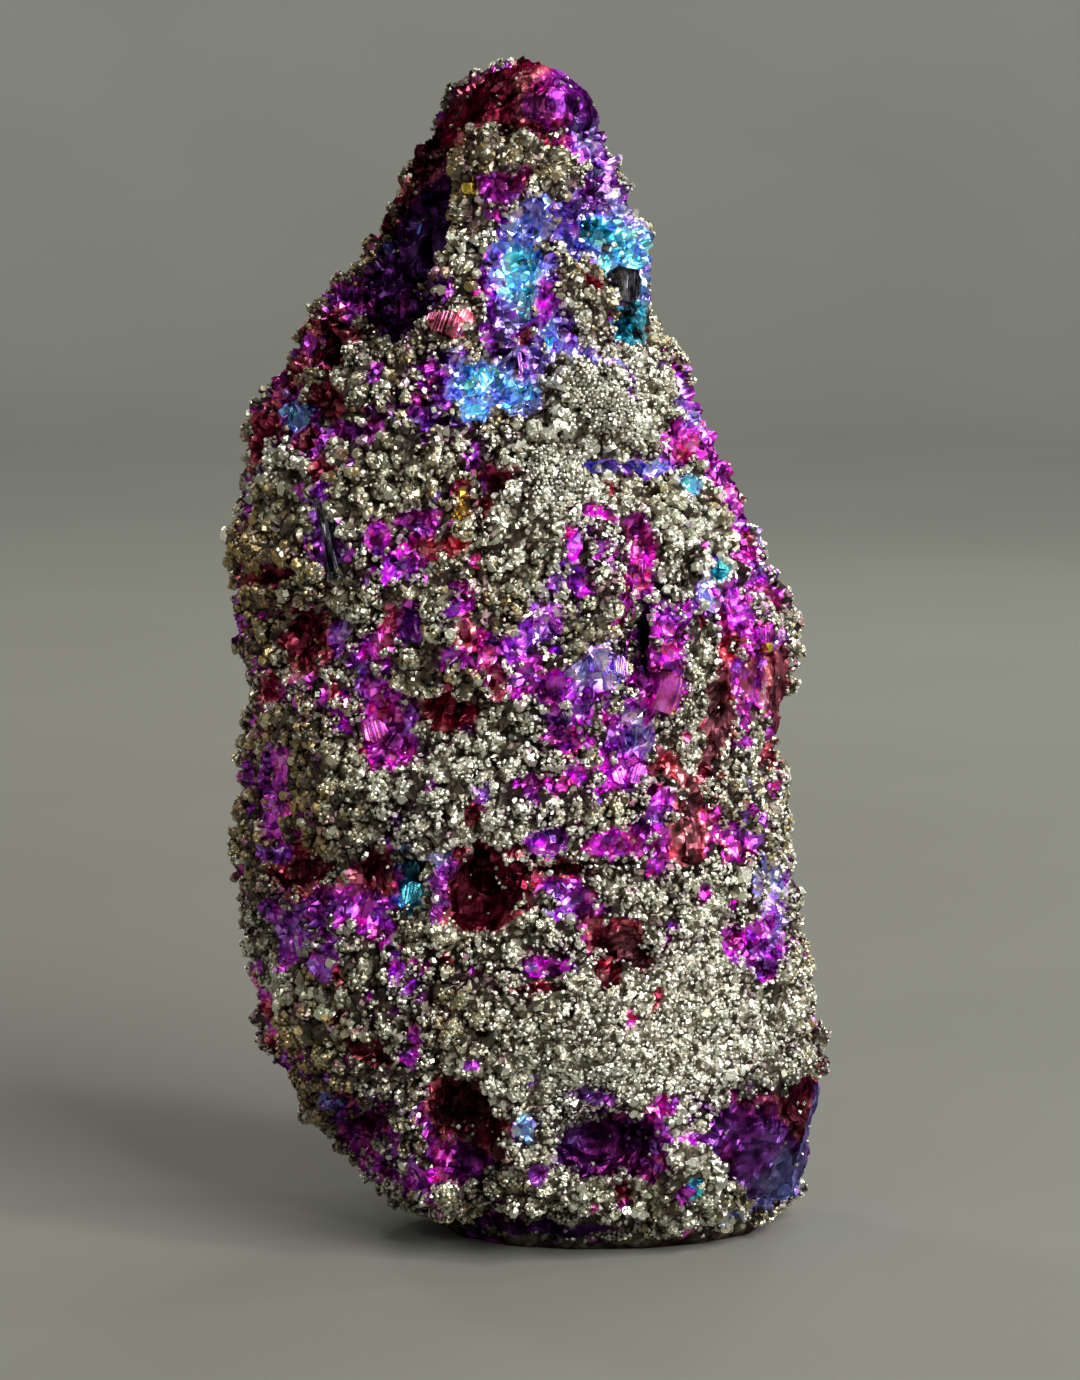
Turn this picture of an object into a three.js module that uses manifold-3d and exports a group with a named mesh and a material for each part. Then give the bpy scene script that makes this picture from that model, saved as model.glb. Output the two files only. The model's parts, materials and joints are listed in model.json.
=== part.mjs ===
// Peacock ore: an upright hand specimen of tarnished chalcopyrite with a pyrite crust.
// Millimetres, +Z up, the front of the stone towards -Y, the origin under its middle at the foot.
import * as THREE from 'three';
import { ImprovedNoise } from 'three/addons/math/ImprovedNoise.js';
import { mergeVertices } from 'three/addons/utils/BufferGeometryUtils.js';
import Module from 'manifold-3d';

// Driving dimensions.
const HEIGHT = 54.5;
const ROWS = 49; // rings of points from the foot to the crown
const TOP_RING = 54; // height of the last ring, under the apex
const APEX = { x: -0.65, y: 0.2 };

// The outline seen from the front: height, left edge, right edge.
const OUTLINE = [
  [0, -4.2, 11.5], [0.8, -5.0, 12.3], [1.4, -5.9, 12.9], [2.3, -7.2, 13.3], [3.1, -7.9, 13.7],
  [4.2, -9.2, 14.0], [5.6, -10.8, 14.2], [7.0, -11.1, 14.2], [8.4, -12.0, 14.1],
  [9.8, -12.8, 13.8], [12.5, -12.5, 13.4], [14.1, -12.6, 12.9], [15.4, -13.2, 12.9],
  [17.6, -13.7, 12.4], [19.8, -13.0, 12.2], [22.5, -13.0, 11.4], [24.1, -12.5, 12.2],
  [26.6, -12.8, 12.6], [28.3, -13.6, 12.9], [29.7, -13.8, 12.1], [32.2, -13.8, 11.0],
  [33.8, -12.8, 10.7], [35.0, -12.9, 9.7], [37.0, -12.9, 9.1], [39.2, -12.4, 7.6],
  [40.7, -11.5, 6.8], [42.0, -10.8, 5.8], [43.5, -9.4, 6.5], [45.0, -7.6, 6.3],
  [47.5, -6.5, 5.3], [48.9, -5.8, 4.8], [50.2, -4.7, 4.0], [51.6, -4.0, 3.6], [52.9, -3.4, 3.0],
  [53.5, -2.6, 2.3], [54.0, -1.8, 1.5],
];

// The outline seen from the side: height, front edge, back edge.
const DEPTH = [
  [0, -5.3, 5.4], [1.1, -6.0, 6.1], [2.2, -7.5, 6.7], [4, -8.0, 7.4], [8, -9.0, 8.9],
  [13, -9.7, 9.8],
  [19, -9.7, 10.0], [23, -10.0, 9.3], [29, -10.6, 8.2], [33, -10.3, 8.0], [36, -9.6, 7.9],
  [39, -8.6, 7.2], [43, -7.0, 6.0], [47, -5.6, 5.3], [51, -4.6, 4.2], [52.9, -3.5, 3.1],
  [54, -1.8, 1.6],
];

// Cross sections, each with the same corners: from the left edge over the front to the right
// edge and back round behind. Across and along run from -1 to 1 between the two outlines.
const SECTIONS = [
  { z: 0, corners: [
    [-1, 0], [-0.84, -0.55], [-0.55, -0.88], [-0.18, -1], [0.22, -0.98], [0.58, -0.8],
    [0.88, -0.45], [1, 0.05], [0.84, 0.58], [0.4, 0.92], [-0.2, 1], [-0.78, 0.62]] },
  { z: 5, corners: [
    [-1, 0.05], [-0.86, -0.5], [-0.58, -0.86], [-0.2, -1], [0.24, -0.98], [0.66, -0.74],
    [0.84, -0.5], [1, 0.15], [0.82, 0.6], [0.36, 0.95], [-0.24, 1], [-0.8, 0.6]] },
  { z: 14, corners: [
    [-1, -0.02], [-0.88, -0.52], [-0.6, -0.86], [-0.22, -1], [0.22, -1], [0.6, -0.84],
    [0.9, -0.42], [1, 0.1], [0.82, 0.66], [0.3, 0.96], [-0.32, 1], [-0.82, 0.56]] },
  { z: 30, corners: [
    [-1, 0], [-0.9, -0.48], [-0.66, -0.84], [-0.28, -1], [0.16, -0.97], [0.52, -0.76],
    [0.86, -0.34], [1, 0.12], [0.84, 0.6], [0.34, 0.98], [-0.3, 0.95], [-0.8, 0.58]] },
  { z: 42, corners: [
    [-1, 0.05], [-0.86, -0.5], [-0.6, -0.78], [-0.22, -0.98], [0.2, -0.96], [0.62, -0.8],
    [0.92, -0.4], [1, 0.1], [0.78, 0.66], [0.2, 1], [-0.42, 0.92], [-0.86, 0.52]] },
  { z: 51, corners: [
    [-1, 0.1], [-0.86, -0.42], [-0.64, -0.8], [-0.38, -1], [0.1, -0.88], [0.55, -0.72],
    [0.9, -0.3], [1, 0.15], [0.72, 0.72], [0.15, 1], [-0.45, 0.88], [-0.85, 0.55]] },
];
// Points along each stretch between two corners, closer together in front.
const STRETCHES = [7, 7, 8, 9, 8, 8, 6, 6, 6, 6, 6, 6];

// The front is laid out as an eye before it and a little above sees it: how far off the eye is,
// its rise in degrees, the point that it looks at, and that point's place in the layout.
const EYE = {
  distance: 230, rise: 8, aim: new THREE.Vector3(0.43, 0, 25.4), across: 0.65, up: 25.58,
};

function seen(point) {
  const away = point.clone().sub(EYE.aim);
  away.applyAxisAngle(new THREE.Vector3(1, 0, 0), THREE.MathUtils.degToRad(EYE.rise));
  const grow = EYE.distance / (EYE.distance + away.y);
  return [EYE.across + away.x * grow, EYE.up + away.z * grow];
}

// The four sides that the relief is laid out on: the way each one faces, and a point's place
// across and up in its layout.
const SIDES = {
  front: { facing: new THREE.Vector3(0, -1, 0), place: seen },
  back: { facing: new THREE.Vector3(0, 1, 0), place: (point) => [point.x, point.z] },
  left: { facing: new THREE.Vector3(-1, 0, 0), place: (point) => [point.y, point.z] },
  right: { facing: new THREE.Vector3(1, 0, 0), place: (point) => [point.y, point.z] },
};

// Hollows and swellings: place across, height, half width, half height, lean in degrees
// clockwise, and depth. A swelling has a depth below zero.
const RELIEF = {
  front: [
    [-4.8, 46.8, 1.6, 3.6, 20, 2.3], // valley between the horn and the left lobe
    [-5.8, 42.9, 1.0, 2.0, 20, 1.5],
    [2.4, 47.6, 0.9, 1.6, 0, 0.7], // gaps in the crust of the horn
    [-0.3, 44.4, 1.0, 2.2, 0, 0.7],
    [4.4, 46.6, 1.4, 1.8, 0, 0.5],
    [-1.2, 39.5, 2.2, 1.5, 0, 0.7],
    [3.0, 41.7, 1.3, 1.1, 30, 0.8],
    [5.1, 42.5, 0.9, 1.3, 0, 0.8],
    [-8.9, 41.3, 1.6, 1.0, 20, 0.9], // left lobe
    [-11.0, 38.4, 1.3, 0.9, 0, 0.5],
    [-8.6, 37.6, 1.8, 1.0, 0, 0.8],
    [-1.6, 34.5, 0.9, 1.9, 14, 1.4], // curled pocket
    [-4.9, 33.0, 2.4, 1.5, 0, 0.7],
    [-8.9, 33.0, 0.7, 2.0, 0, 0.9], // dark upright streak
    [4.5, 36.0, 2.7, 0.8, 6, 1.2], // crack under the pale lump
    [5.2, 31.8, 1.0, 2.5, 0, 0.8], // upright grooves
    [5.5, 27.8, 0.9, 2.2, 0, 2.2], // the slit
    [-9.6, 28.0, 2.4, 1.4, 0, 1.0],
    [-5.6, 28.6, 1.7, 1.3, 0, 0.8],
    [1.2, 28.7, 1.6, 1.5, 0, 0.7],
    [-6.3, 23.9, 2.1, 2.2, 0, 1.5], // bowl
    [-3.3, 24.6, 1.6, 1.1, 0, 1.4],
    [0.6, 25.7, 2.0, 1.1, 0, 0.8],
    [8.7, 25.0, 0.8, 3.0, 0, 0.8],
    [11.2, 25.6, 1.6, 2.2, 0, 0.3],
    [5.0, 22.5, 2.2, 2.2, 0, 0.6],
    [7.9, 19.3, 1.0, 2.4, 5, 0.6],
    [4.2, 18.2, 2.6, 1.0, 0, 0.9], // sill under the middle
    [-2.1, 16.5, 1.5, 2.4, 0, 2.5], // deep recess
    [-5.0, 16.6, 1.2, 2.0, 0, 2.1],
    [-10.2, 17.2, 2.3, 1.2, -8, 1.0],
    [-11.0, 14.2, 1.6, 2.0, 0, 0.8],
    [11.0, 14.4, 1.7, 2.2, -6, 0.8],
    [4.4, 13.2, 1.9, 1.3, 35, 0.7],
    [-7.2, 8.9, 1.7, 0.9, 10, 1.0],
    [-2.4, 6.0, 1.3, 2.2, 0, 1.2], // pocket that runs down to the ledge
    [-2.4, 3.9, 1.5, 1.3, 0, 1.2],
    [3.6, 4.3, 2.4, 1.8, 0, 1.7], // cave over the foot
    [-8.2, 5.2, 2.2, 1.0, -32, 0.8],
    [-0.9, 1.0, 4.6, 0.6, 0, 1.0], // underside below the beaded ledge
    [12.2, 4.8, 1.7, 2.3, 12, 0.3], // smooth bevels beside the foot
    [4.1, 39.0, 2.8, 2.8, 0, -1.1], // pale lump at the right shoulder
    [-6.0, 44.4, 1.2, 1.3, 0, -0.9],
    [-7.6, 41.7, 1.3, 1.8, 0, -0.6],
    [-5.2, 48.8, 1.0, 1.2, 0, -0.6],
    [-3.6, 16.8, 0.7, 2.3, 14, -0.9], // blade between the two recesses
    [-9.5, 34.0, 3.6, 3.2, 0, -0.5],
    [-2.0, 20.8, 5.4, 1.8, -8, -0.6], // swell of crust over the recess
    [0.5, 10.2, 6.5, 3.0, 0, -0.6],
    [-0.3, 2.3, 5.8, 0.7, 0, -0.9], // beaded ledge
    [7.6, 2.6, 1.7, 2.4, 0, -0.6],
    [1.0, 4.0, 1.0, 1.9, 0, -0.9],
  ],
  back: [
    [0.5, 45.5, 1.9, 2.4, 10, 1.3],
    [-4.2, 41.0, 1.8, 2.6, -20, 1.4],
    [3.6, 38.0, 1.5, 2.2, 15, 1.1],
    [-8.8, 34.5, 1.9, 1.6, 0, 1.2],
    [-1.5, 33.0, 1.2, 3.4, 8, 1.5],
    [6.6, 30.5, 2.0, 1.5, 20, 1.2],
    [2.6, 26.5, 1.8, 2.6, 0, 0.9],
    [-6.2, 25.5, 2.8, 1.7, -12, 1.7],
    [9.2, 22.0, 1.3, 2.8, 0, 1.0],
    [-10.6, 19.5, 1.5, 2.2, 0, 1.0],
    [0.2, 18.5, 3.2, 1.2, 10, 1.3],
    [5.4, 14.5, 1.9, 1.9, 0, 1.4],
    [-5.0, 12.5, 1.6, 2.4, -15, 1.8],
    [-9.6, 9.0, 1.7, 1.3, 25, 1.0],
    [1.6, 7.5, 2.4, 1.4, 0, 1.2],
    [8.6, 6.0, 2.2, 2.4, -20, 0.9],
    [-2.8, 3.6, 2.4, 1.1, 10, 1.0],
    [-4.5, 37.0, 2.2, 1.6, 0, -0.8],
    [5.6, 34.5, 1.8, 2.2, 0, -0.9],
    [-2.2, 28.5, 2.6, 1.6, 0, -0.8],
    [6.8, 18.5, 2.2, 1.8, 0, -0.8],
    [-5.4, 17.5, 2.4, 1.6, 0, -0.9],
    [3.2, 2.2, 4.2, 0.8, 0, -0.8],
  ],
  left: [
    [0.5, 40.5, 1.6, 2.0, 0, 0.4],
    [-3.2, 36.0, 1.7, 1.3, 0, 0.9],
    [3.8, 34.5, 1.4, 2.4, 0, 1.2],
    [-0.5, 30.5, 2.2, 1.4, 20, 1.2],
    [4.2, 26.5, 1.6, 1.8, 0, 0.9],
    [-2.6, 22.0, 1.8, 2.0, -10, 1.0],
    [2.4, 18.0, 2.4, 1.3, 0, 1.2],
    [-1.8, 10.5, 2.0, 1.5, 0, 0.9],
    [3.6, 9.0, 1.4, 2.0, 15, 1.0],
    [1.6, 13.5, 2.2, 1.6, 0, -0.7],
  ],
  right: [
    [0.5, 44.0, 1.5, 2.2, 0, 0.8],
    [2.2, 37.5, 1.6, 1.8, 0, 1.0],
    [-1.5, 33.5, 1.2, 2.4, 0, 0.8],
    [3.4, 30.0, 1.5, 2.0, 0, 1.1],
    [0.8, 25.5, 1.2, 3.2, 0, 0.3],
    [4.0, 19.0, 1.8, 1.8, 20, 1.2],
    [-0.8, 15.5, 1.6, 1.6, 0, 0.8],
    [2.6, 11.0, 2.0, 1.3, 0, 1.0],
    [1.2, 4.5, 2.6, 2.2, 0, 0.2],
    [1.8, 40.6, 1.8, 1.1, 0, -0.4],
    [0.6, 21.5, 2.0, 1.4, 0, -0.3],
  ],
};

// Flat-faced crystals and blocks grown on the stone: side, place across, height, form, half
// sizes across, out and up, and lean.
const CRYSTALS = [
  ['front', 3.8, 40.2, 'knot', 1.9, 1.2, 1.7, 24],
  ['front', 4.9, 37.9, 'knot', 1.5, 1.1, 1.2, -14],
  ['front', 2.1, 38.6, 'prism', 0.7, 0.8, 1.2, 8],
  ['front', 6.1, 40.2, 'knot', 0.9, 0.8, 0.9, 0],
  ['front', 4.4, 44.4, 'knot', 0.7, 0.8, 0.9, 30],
  ['front', 2.2, 53.0, 'knot', 1.1, 0.9, 1.0, 15],
  ['front', -1.6, 53.4, 'knot', 0.9, 0.8, 0.8, 0],
  ['front', -0.2, 41.3, 'point', 0.8, 0.9, 1.2, 6],
  ['front', -9.2, 42.6, 'knot', 1.3, 1.0, 1.1, 0],
  ['front', -5.0, 36.2, 'knot', 1.3, 1.0, 1.0, 0],
  ['front', -11.3, 31.2, 'knot', 1.3, 1.0, 1.2, 0],
  ['front', 3.5, 29.7, 'block', 0.6, 0.9, 1.7, 12],
  ['front', 1.3, 28.5, 'block', 1.1, 0.9, 1.3, 0],
  ['front', 5.4, 23.6, 'block', 0.9, 0.9, 1.8, 10],
  ['front', -6.9, 24.4, 'point', 1.1, 1.0, 1.3, -10],
  ['front', 10.2, 25.4, 'block', 0.6, 0.9, 2.1, 4],
  ['front', -9.4, 20.6, 'knot', 1.4, 1.0, 1.1, 0],
  ['front', -3.6, 17.0, 'block', 0.6, 1.3, 1.9, 14],
  ['front', 10.4, 16.4, 'block', 0.8, 0.9, 0.9, 0],
  ['front', -10.0, 11.6, 'knot', 1.0, 0.9, 0.9, 0],
  ['front', 7.0, 12.6, 'point', 0.9, 0.9, 0.9, 20],
  ['front', -0.4, 5.3, 'point', 0.7, 1.0, 0.9, 0],
  ['front', 7.6, 3.6, 'block', 1.1, 0.9, 1.3, -8],
  ['front', 11.7, 4.4, 'block', 1.7, 1.2, 2.3, 8],
  ['front', 12.4, 6.8, 'knot', 1.2, 1.0, 1.2, 24],
  ['back', -1.0, 48.6, 'block', 1.1, 1.0, 1.5, 10],
  ['back', -5.6, 38.4, 'block', 1.7, 1.2, 1.4, -18],
  ['back', 6.0, 33.8, 'block', 1.4, 1.1, 1.6, 12],
  ['back', -0.8, 22.8, 'knot', 1.7, 1.1, 1.3, -14],
  ['back', 9.0, 13.2, 'block', 1.3, 1.0, 1.4, 10],
  ['back', -7.0, 14.4, 'knot', 1.5, 1.1, 1.3, 0],
  ['left', 1.4, 32.6, 'block', 1.2, 1.0, 1.4, 14],
  ['right', 2.4, 27.0, 'block', 1.0, 0.9, 1.8, 0],
];
const CRYSTAL_SUNK = 0.6; // share of its half size that a crystal's middle lies under the ground

// Rough ground: wavelength and height of the swells, and of the rounded clumps of crust that
// meet in creases.
const SWELLS = [[8, 0.8], [4.4, 0.5]];
const CLUMPS = [[5.2, 1.3], [2.9, 0.9]];
const CLUMP_LEVEL = 0.22; // share of a clump's height that lies under the plain form
const OUTLINE_CALM = 0.25; // share of the rough ground that is left along the two outlines
const FOOT_CALM = 1.5; // height over which it fades out towards the foot
const WAVER = 0.5; // how far a ring of points strays up and down

const MATERIAL = new THREE.MeshStandardMaterial({
  name: 'tarnished ore', color: 0x7c6a66, roughness: 0.4, metalness: 0.9,
});

const noise = new ImprovedNoise();

function between(table, z, column) {
  const next = Math.max(1, table.findIndex((entry) => entry[0] >= z));
  const [below, above] = [table[next - 1], table[next]];
  return THREE.MathUtils.mapLinear(z, below[0], above[0], below[column], above[column]);
}

function sectionCorner(z, corner) {
  const last = SECTIONS.length - 1;
  if (z >= SECTIONS[last].z) return SECTIONS[last].corners[corner];
  const next = Math.max(1, SECTIONS.findIndex((section) => section.z >= z));
  const [below, above] = [SECTIONS[next - 1], SECTIONS[next]];
  const share = (z - below.z) / (above.z - below.z);
  return [0, 1].map((axis) => THREE.MathUtils.lerp(
    below.corners[corner][axis], above.corners[corner][axis], share));
}

// One ring of the plain form at a height, before any relief.
function ring(z) {
  const left = between(OUTLINE, z, 1);
  const right = between(OUTLINE, z, 2);
  const front = between(DEPTH, z, 1);
  const back = between(DEPTH, z, 2);
  const points = [];
  STRETCHES.forEach((count, corner) => {
    const start = sectionCorner(z, corner);
    const end = sectionCorner(z, (corner + 1) % STRETCHES.length);
    for (let step = 0; step < count; step += 1) {
      const across = THREE.MathUtils.lerp(start[0], end[0], step / count);
      const along = THREE.MathUtils.lerp(start[1], end[1], step / count);
      points.push(new THREE.Vector3(
        (left + right) / 2 + across * (right - left) / 2,
        along < 0 ? -along * front : along * back,
        z,
      ));
    }
  });
  return points;
}

// The grid of rings as a closed mesh: the walls, a fan under the foot and a fan to the apex.
function stoneGeometry(rings) {
  const columns = rings[0].length;
  const positions = rings.flat().flatMap((point) => point.toArray());
  const foot = rings[0].reduce((sum, point) => sum.add(point), new THREE.Vector3());
  positions.push(...foot.divideScalar(columns).toArray(), APEX.x, APEX.y, HEIGHT);
  const [footIndex, apexIndex] = [rings.length * columns, rings.length * columns + 1];
  const faces = [];
  for (let column = 0; column < columns; column += 1) {
    const next = (column + 1) % columns;
    faces.push(next, column, footIndex);
    const top = (rings.length - 1) * columns;
    faces.push(top + column, top + next, apexIndex);
    for (let row = 0; row < rings.length - 1; row += 1) {
      const [a, b] = [row * columns + column, row * columns + next];
      const [c, d] = [a + columns, b + columns];
      const falling = rings[row][column].distanceTo(rings[row + 1][next]);
      const rising = rings[row][next].distanceTo(rings[row + 1][column]);
      if (falling < rising) faces.push(a, b, d, a, d, c);
      else faces.push(a, b, c, b, d, c);
    }
  }
  const geometry = new THREE.BufferGeometry();
  geometry.setAttribute('position', new THREE.Float32BufferAttribute(positions, 3));
  geometry.setIndex(faces);
  geometry.computeVertexNormals();
  return geometry;
}

// How much of a hollow or swelling is felt at a point: 1 in its middle, 0 past its rim.
function reach([place, height, halfWidth, halfHeight, lean], side, point) {
  const turn = THREE.MathUtils.degToRad(lean);
  const laid = side.place(point);
  const across = laid[0] - place;
  const up = laid[1] - height;
  const wide = (across * Math.cos(turn) - up * Math.sin(turn)) / halfWidth;
  const high = (across * Math.sin(turn) + up * Math.cos(turn)) / halfHeight;
  return 1 - THREE.MathUtils.smoothstep(Math.hypot(wide, high), 0.45, 1.25);
}

// How far the surface stands out (or in, below zero) at a point of the plain form.
function relief(point, normal) {
  const calm = THREE.MathUtils.lerp(OUTLINE_CALM, 1, Math.abs(normal.y));
  let rough = 0;
  for (const [length, high] of SWELLS) {
    rough += high * noise.noise(point.x / length, point.y / length, point.z / length + high);
  }
  for (const [length, high] of CLUMPS) {
    const wave = noise.noise(point.x / length + high, point.y / length, point.z / length);
    rough += high * (Math.abs(wave) - CLUMP_LEVEL);
  }
  let [deepest, highest] = [0, 0];
  for (const [name, side] of Object.entries(SIDES)) {
    const facing = THREE.MathUtils.smoothstep(normal.dot(side.facing), 0.05, 0.5);
    if (facing === 0) continue;
    for (const form of RELIEF[name]) {
      const felt = form[5] * facing * reach(form, side, point);
      deepest = Math.max(deepest, felt);
      highest = Math.max(highest, -felt);
    }
  }
  const ground = THREE.MathUtils.smoothstep(point.z, 0, FOOT_CALM);
  return ground * (rough * calm + highest - deepest);
}

function solidOf(wasm, geometry) {
  const bare = geometry.clone();
  for (const name of Object.keys(bare.attributes)) {
    if (name !== 'position') bare.deleteAttribute(name);
  }
  const merged = mergeVertices(bare, 1e-4);
  return new wasm.Manifold(new wasm.Mesh({
    numProp: 3,
    vertProperties: new Float32Array(merged.attributes.position.array),
    triVerts: new Uint32Array(merged.index.array),
  }));
}

// The plain forms of the crystals, each about 2 across.
const CRYSTAL_FORMS = {
  block: () => {
    const shape = new THREE.BoxGeometry(1.7, 1.7, 1.8);
    shape.rotateX(0.3);
    return shape;
  },
  knot: () => new THREE.DodecahedronGeometry(1, 0),
  point: () => new THREE.OctahedronGeometry(1.2, 0),
  prism: () => {
    const shape = new THREE.CylinderGeometry(0.8, 1, 2, 6);
    shape.rotateX(Math.PI / 2);
    return shape;
  },
};

// The point of the finished ground that is nearest to a place on one side.
function seat(geometry, sideName, place, height) {
  const side = SIDES[sideName];
  const { position, normal } = geometry.attributes;
  const found = { distance: Infinity };
  for (let index = 0; index < position.count; index += 1) {
    const point = new THREE.Vector3().fromBufferAttribute(position, index);
    const out = new THREE.Vector3().fromBufferAttribute(normal, index);
    if (out.dot(side.facing) < 0.1) continue;
    const laid = side.place(point);
    const distance = Math.hypot(laid[0] - place, laid[1] - height);
    if (distance < found.distance) Object.assign(found, { distance, point, out });
  }
  return found;
}

function crystalGeometry(ground, [side, place, height, form, across, out, up, lean]) {
  const { point, out: normal } = seat(ground, side, place, height);
  const shape = CRYSTAL_FORMS[form]();
  shape.scale(across, out, up);
  shape.rotateY(THREE.MathUtils.degToRad(lean));
  const level = new THREE.Vector3(normal.x, normal.y, normal.z * 0.4).normalize();
  shape.applyQuaternion(new THREE.Quaternion().setFromUnitVectors(
    new THREE.Vector3(0, -1, 0), level));
  const centre = point.clone().addScaledVector(level, -CRYSTAL_SUNK * out);
  shape.translate(centre.x, centre.y, centre.z);
  return shape;
}

function buildRings() {
  const plain = [];
  for (let row = 0; row < ROWS; row += 1) plain.push(ring(TOP_RING * row / (ROWS - 1)));
  const normals = stoneGeometry(plain).attributes.normal;
  const columns = plain[0].length;
  return plain.map((points, row) => points.map((point, column) => {
    const normal = new THREE.Vector3().fromBufferAttribute(normals, row * columns + column);
    const moved = point.clone();
    if (row === 0) return moved;
    moved.addScaledVector(normal, relief(point, normal));
    moved.z += WAVER * noise.noise(point.x / 2, point.y / 2, point.z / 2 + 9);
    return moved;
  }));
}

async function buildStone() {
  const wasm = await Module();
  wasm.setup();
  const ground = stoneGeometry(buildRings());
  let solid = solidOf(wasm, ground);
  for (const crystal of CRYSTALS) solid = solid.add(solidOf(wasm, crystalGeometry(ground, crystal)));
  const { vertProperties, triVerts } = solid.getMesh();
  const geometry = new THREE.BufferGeometry();
  geometry.setAttribute('position', new THREE.BufferAttribute(vertProperties, 3));
  geometry.setIndex(new THREE.BufferAttribute(triVerts, 1));
  geometry.computeBoundingBox();
  const { min, max } = geometry.boundingBox;
  geometry.translate(-(min.x + max.x) / 2, -(min.y + max.y) / 2, -min.z);
  geometry.computeVertexNormals();
  return geometry;
}

const stone = new THREE.Mesh(await buildStone(), MATERIAL);
stone.name = 'peacock_ore';

const specimen = new THREE.Group();
specimen.add(stone);

export default specimen;
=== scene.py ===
"""Peacock ore: a horn of rainbow-tarnished copper ore under a crust of fine pale pyrite."""

import json
import math
import random
from collections import namedtuple
from contextlib import contextmanager

import bpy
import numpy as np
from mathutils import Matrix, Vector, kdtree, noise

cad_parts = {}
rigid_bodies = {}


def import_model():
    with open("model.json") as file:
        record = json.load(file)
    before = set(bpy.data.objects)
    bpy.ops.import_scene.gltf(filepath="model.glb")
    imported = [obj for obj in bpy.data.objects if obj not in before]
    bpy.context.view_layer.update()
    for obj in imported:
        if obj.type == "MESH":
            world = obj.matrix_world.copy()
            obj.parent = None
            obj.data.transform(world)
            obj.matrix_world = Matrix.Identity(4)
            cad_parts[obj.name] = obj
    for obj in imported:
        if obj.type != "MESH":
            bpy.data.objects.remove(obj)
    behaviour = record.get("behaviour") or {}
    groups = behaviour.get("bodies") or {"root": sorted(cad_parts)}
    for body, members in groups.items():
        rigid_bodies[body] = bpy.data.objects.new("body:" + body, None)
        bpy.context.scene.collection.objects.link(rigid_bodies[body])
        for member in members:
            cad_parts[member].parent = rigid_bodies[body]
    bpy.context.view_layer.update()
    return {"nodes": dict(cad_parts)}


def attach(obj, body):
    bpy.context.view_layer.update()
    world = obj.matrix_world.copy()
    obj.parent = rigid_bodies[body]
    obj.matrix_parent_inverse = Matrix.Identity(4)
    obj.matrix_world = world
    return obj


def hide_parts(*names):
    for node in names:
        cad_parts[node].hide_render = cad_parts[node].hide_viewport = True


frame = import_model()

bl_info = {
    "name": "Peacock Ore",
    "version": (1, 0, 0),
    "blender": (4, 5, 0),
    "location": "3D View > Sidebar > Peacock Ore",
    "description": "Builds a stone of tarnished peacock ore with a pyrite crust",
    "category": "Object",
}

MM = 0.001
STONE = "peacock_ore"  # the solid that the ore stands in for
ORE = "tarnished_ore"
MAP = "OFBake"  # what every piece's own map is called

# The camera, in millimetres from the stone's foot.
CAMERA_DISTANCE = 230
CAMERA_RISE = 8  # degrees above level
FRAME_HEIGHT = 64.2  # what the picture takes in at the stone
SENSOR_HEIGHT = 36
AIM = (0.43, 0, 25.4)  # the point that it looks at
AIM_LAID = (0.65, 25.58)  # where the point aimed at lies in the front's layout

# The sides of the stone that windows are laid out on: the way each faces, the axis across it,
# and the sign that makes a lean to that axis's positive end a positive one.
Side = namedtuple("Side", "facing axis sign")
SIDES = {
    "front": Side(Vector((0, -1, 0)), 0, 1),
    "back": Side(Vector((0, 1, 0)), 0, -1),
    "left": Side(Vector((-1, 0, 0)), 1, -1),
    "right": Side(Vector((1, 0, 0)), 1, 1),
}

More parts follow.
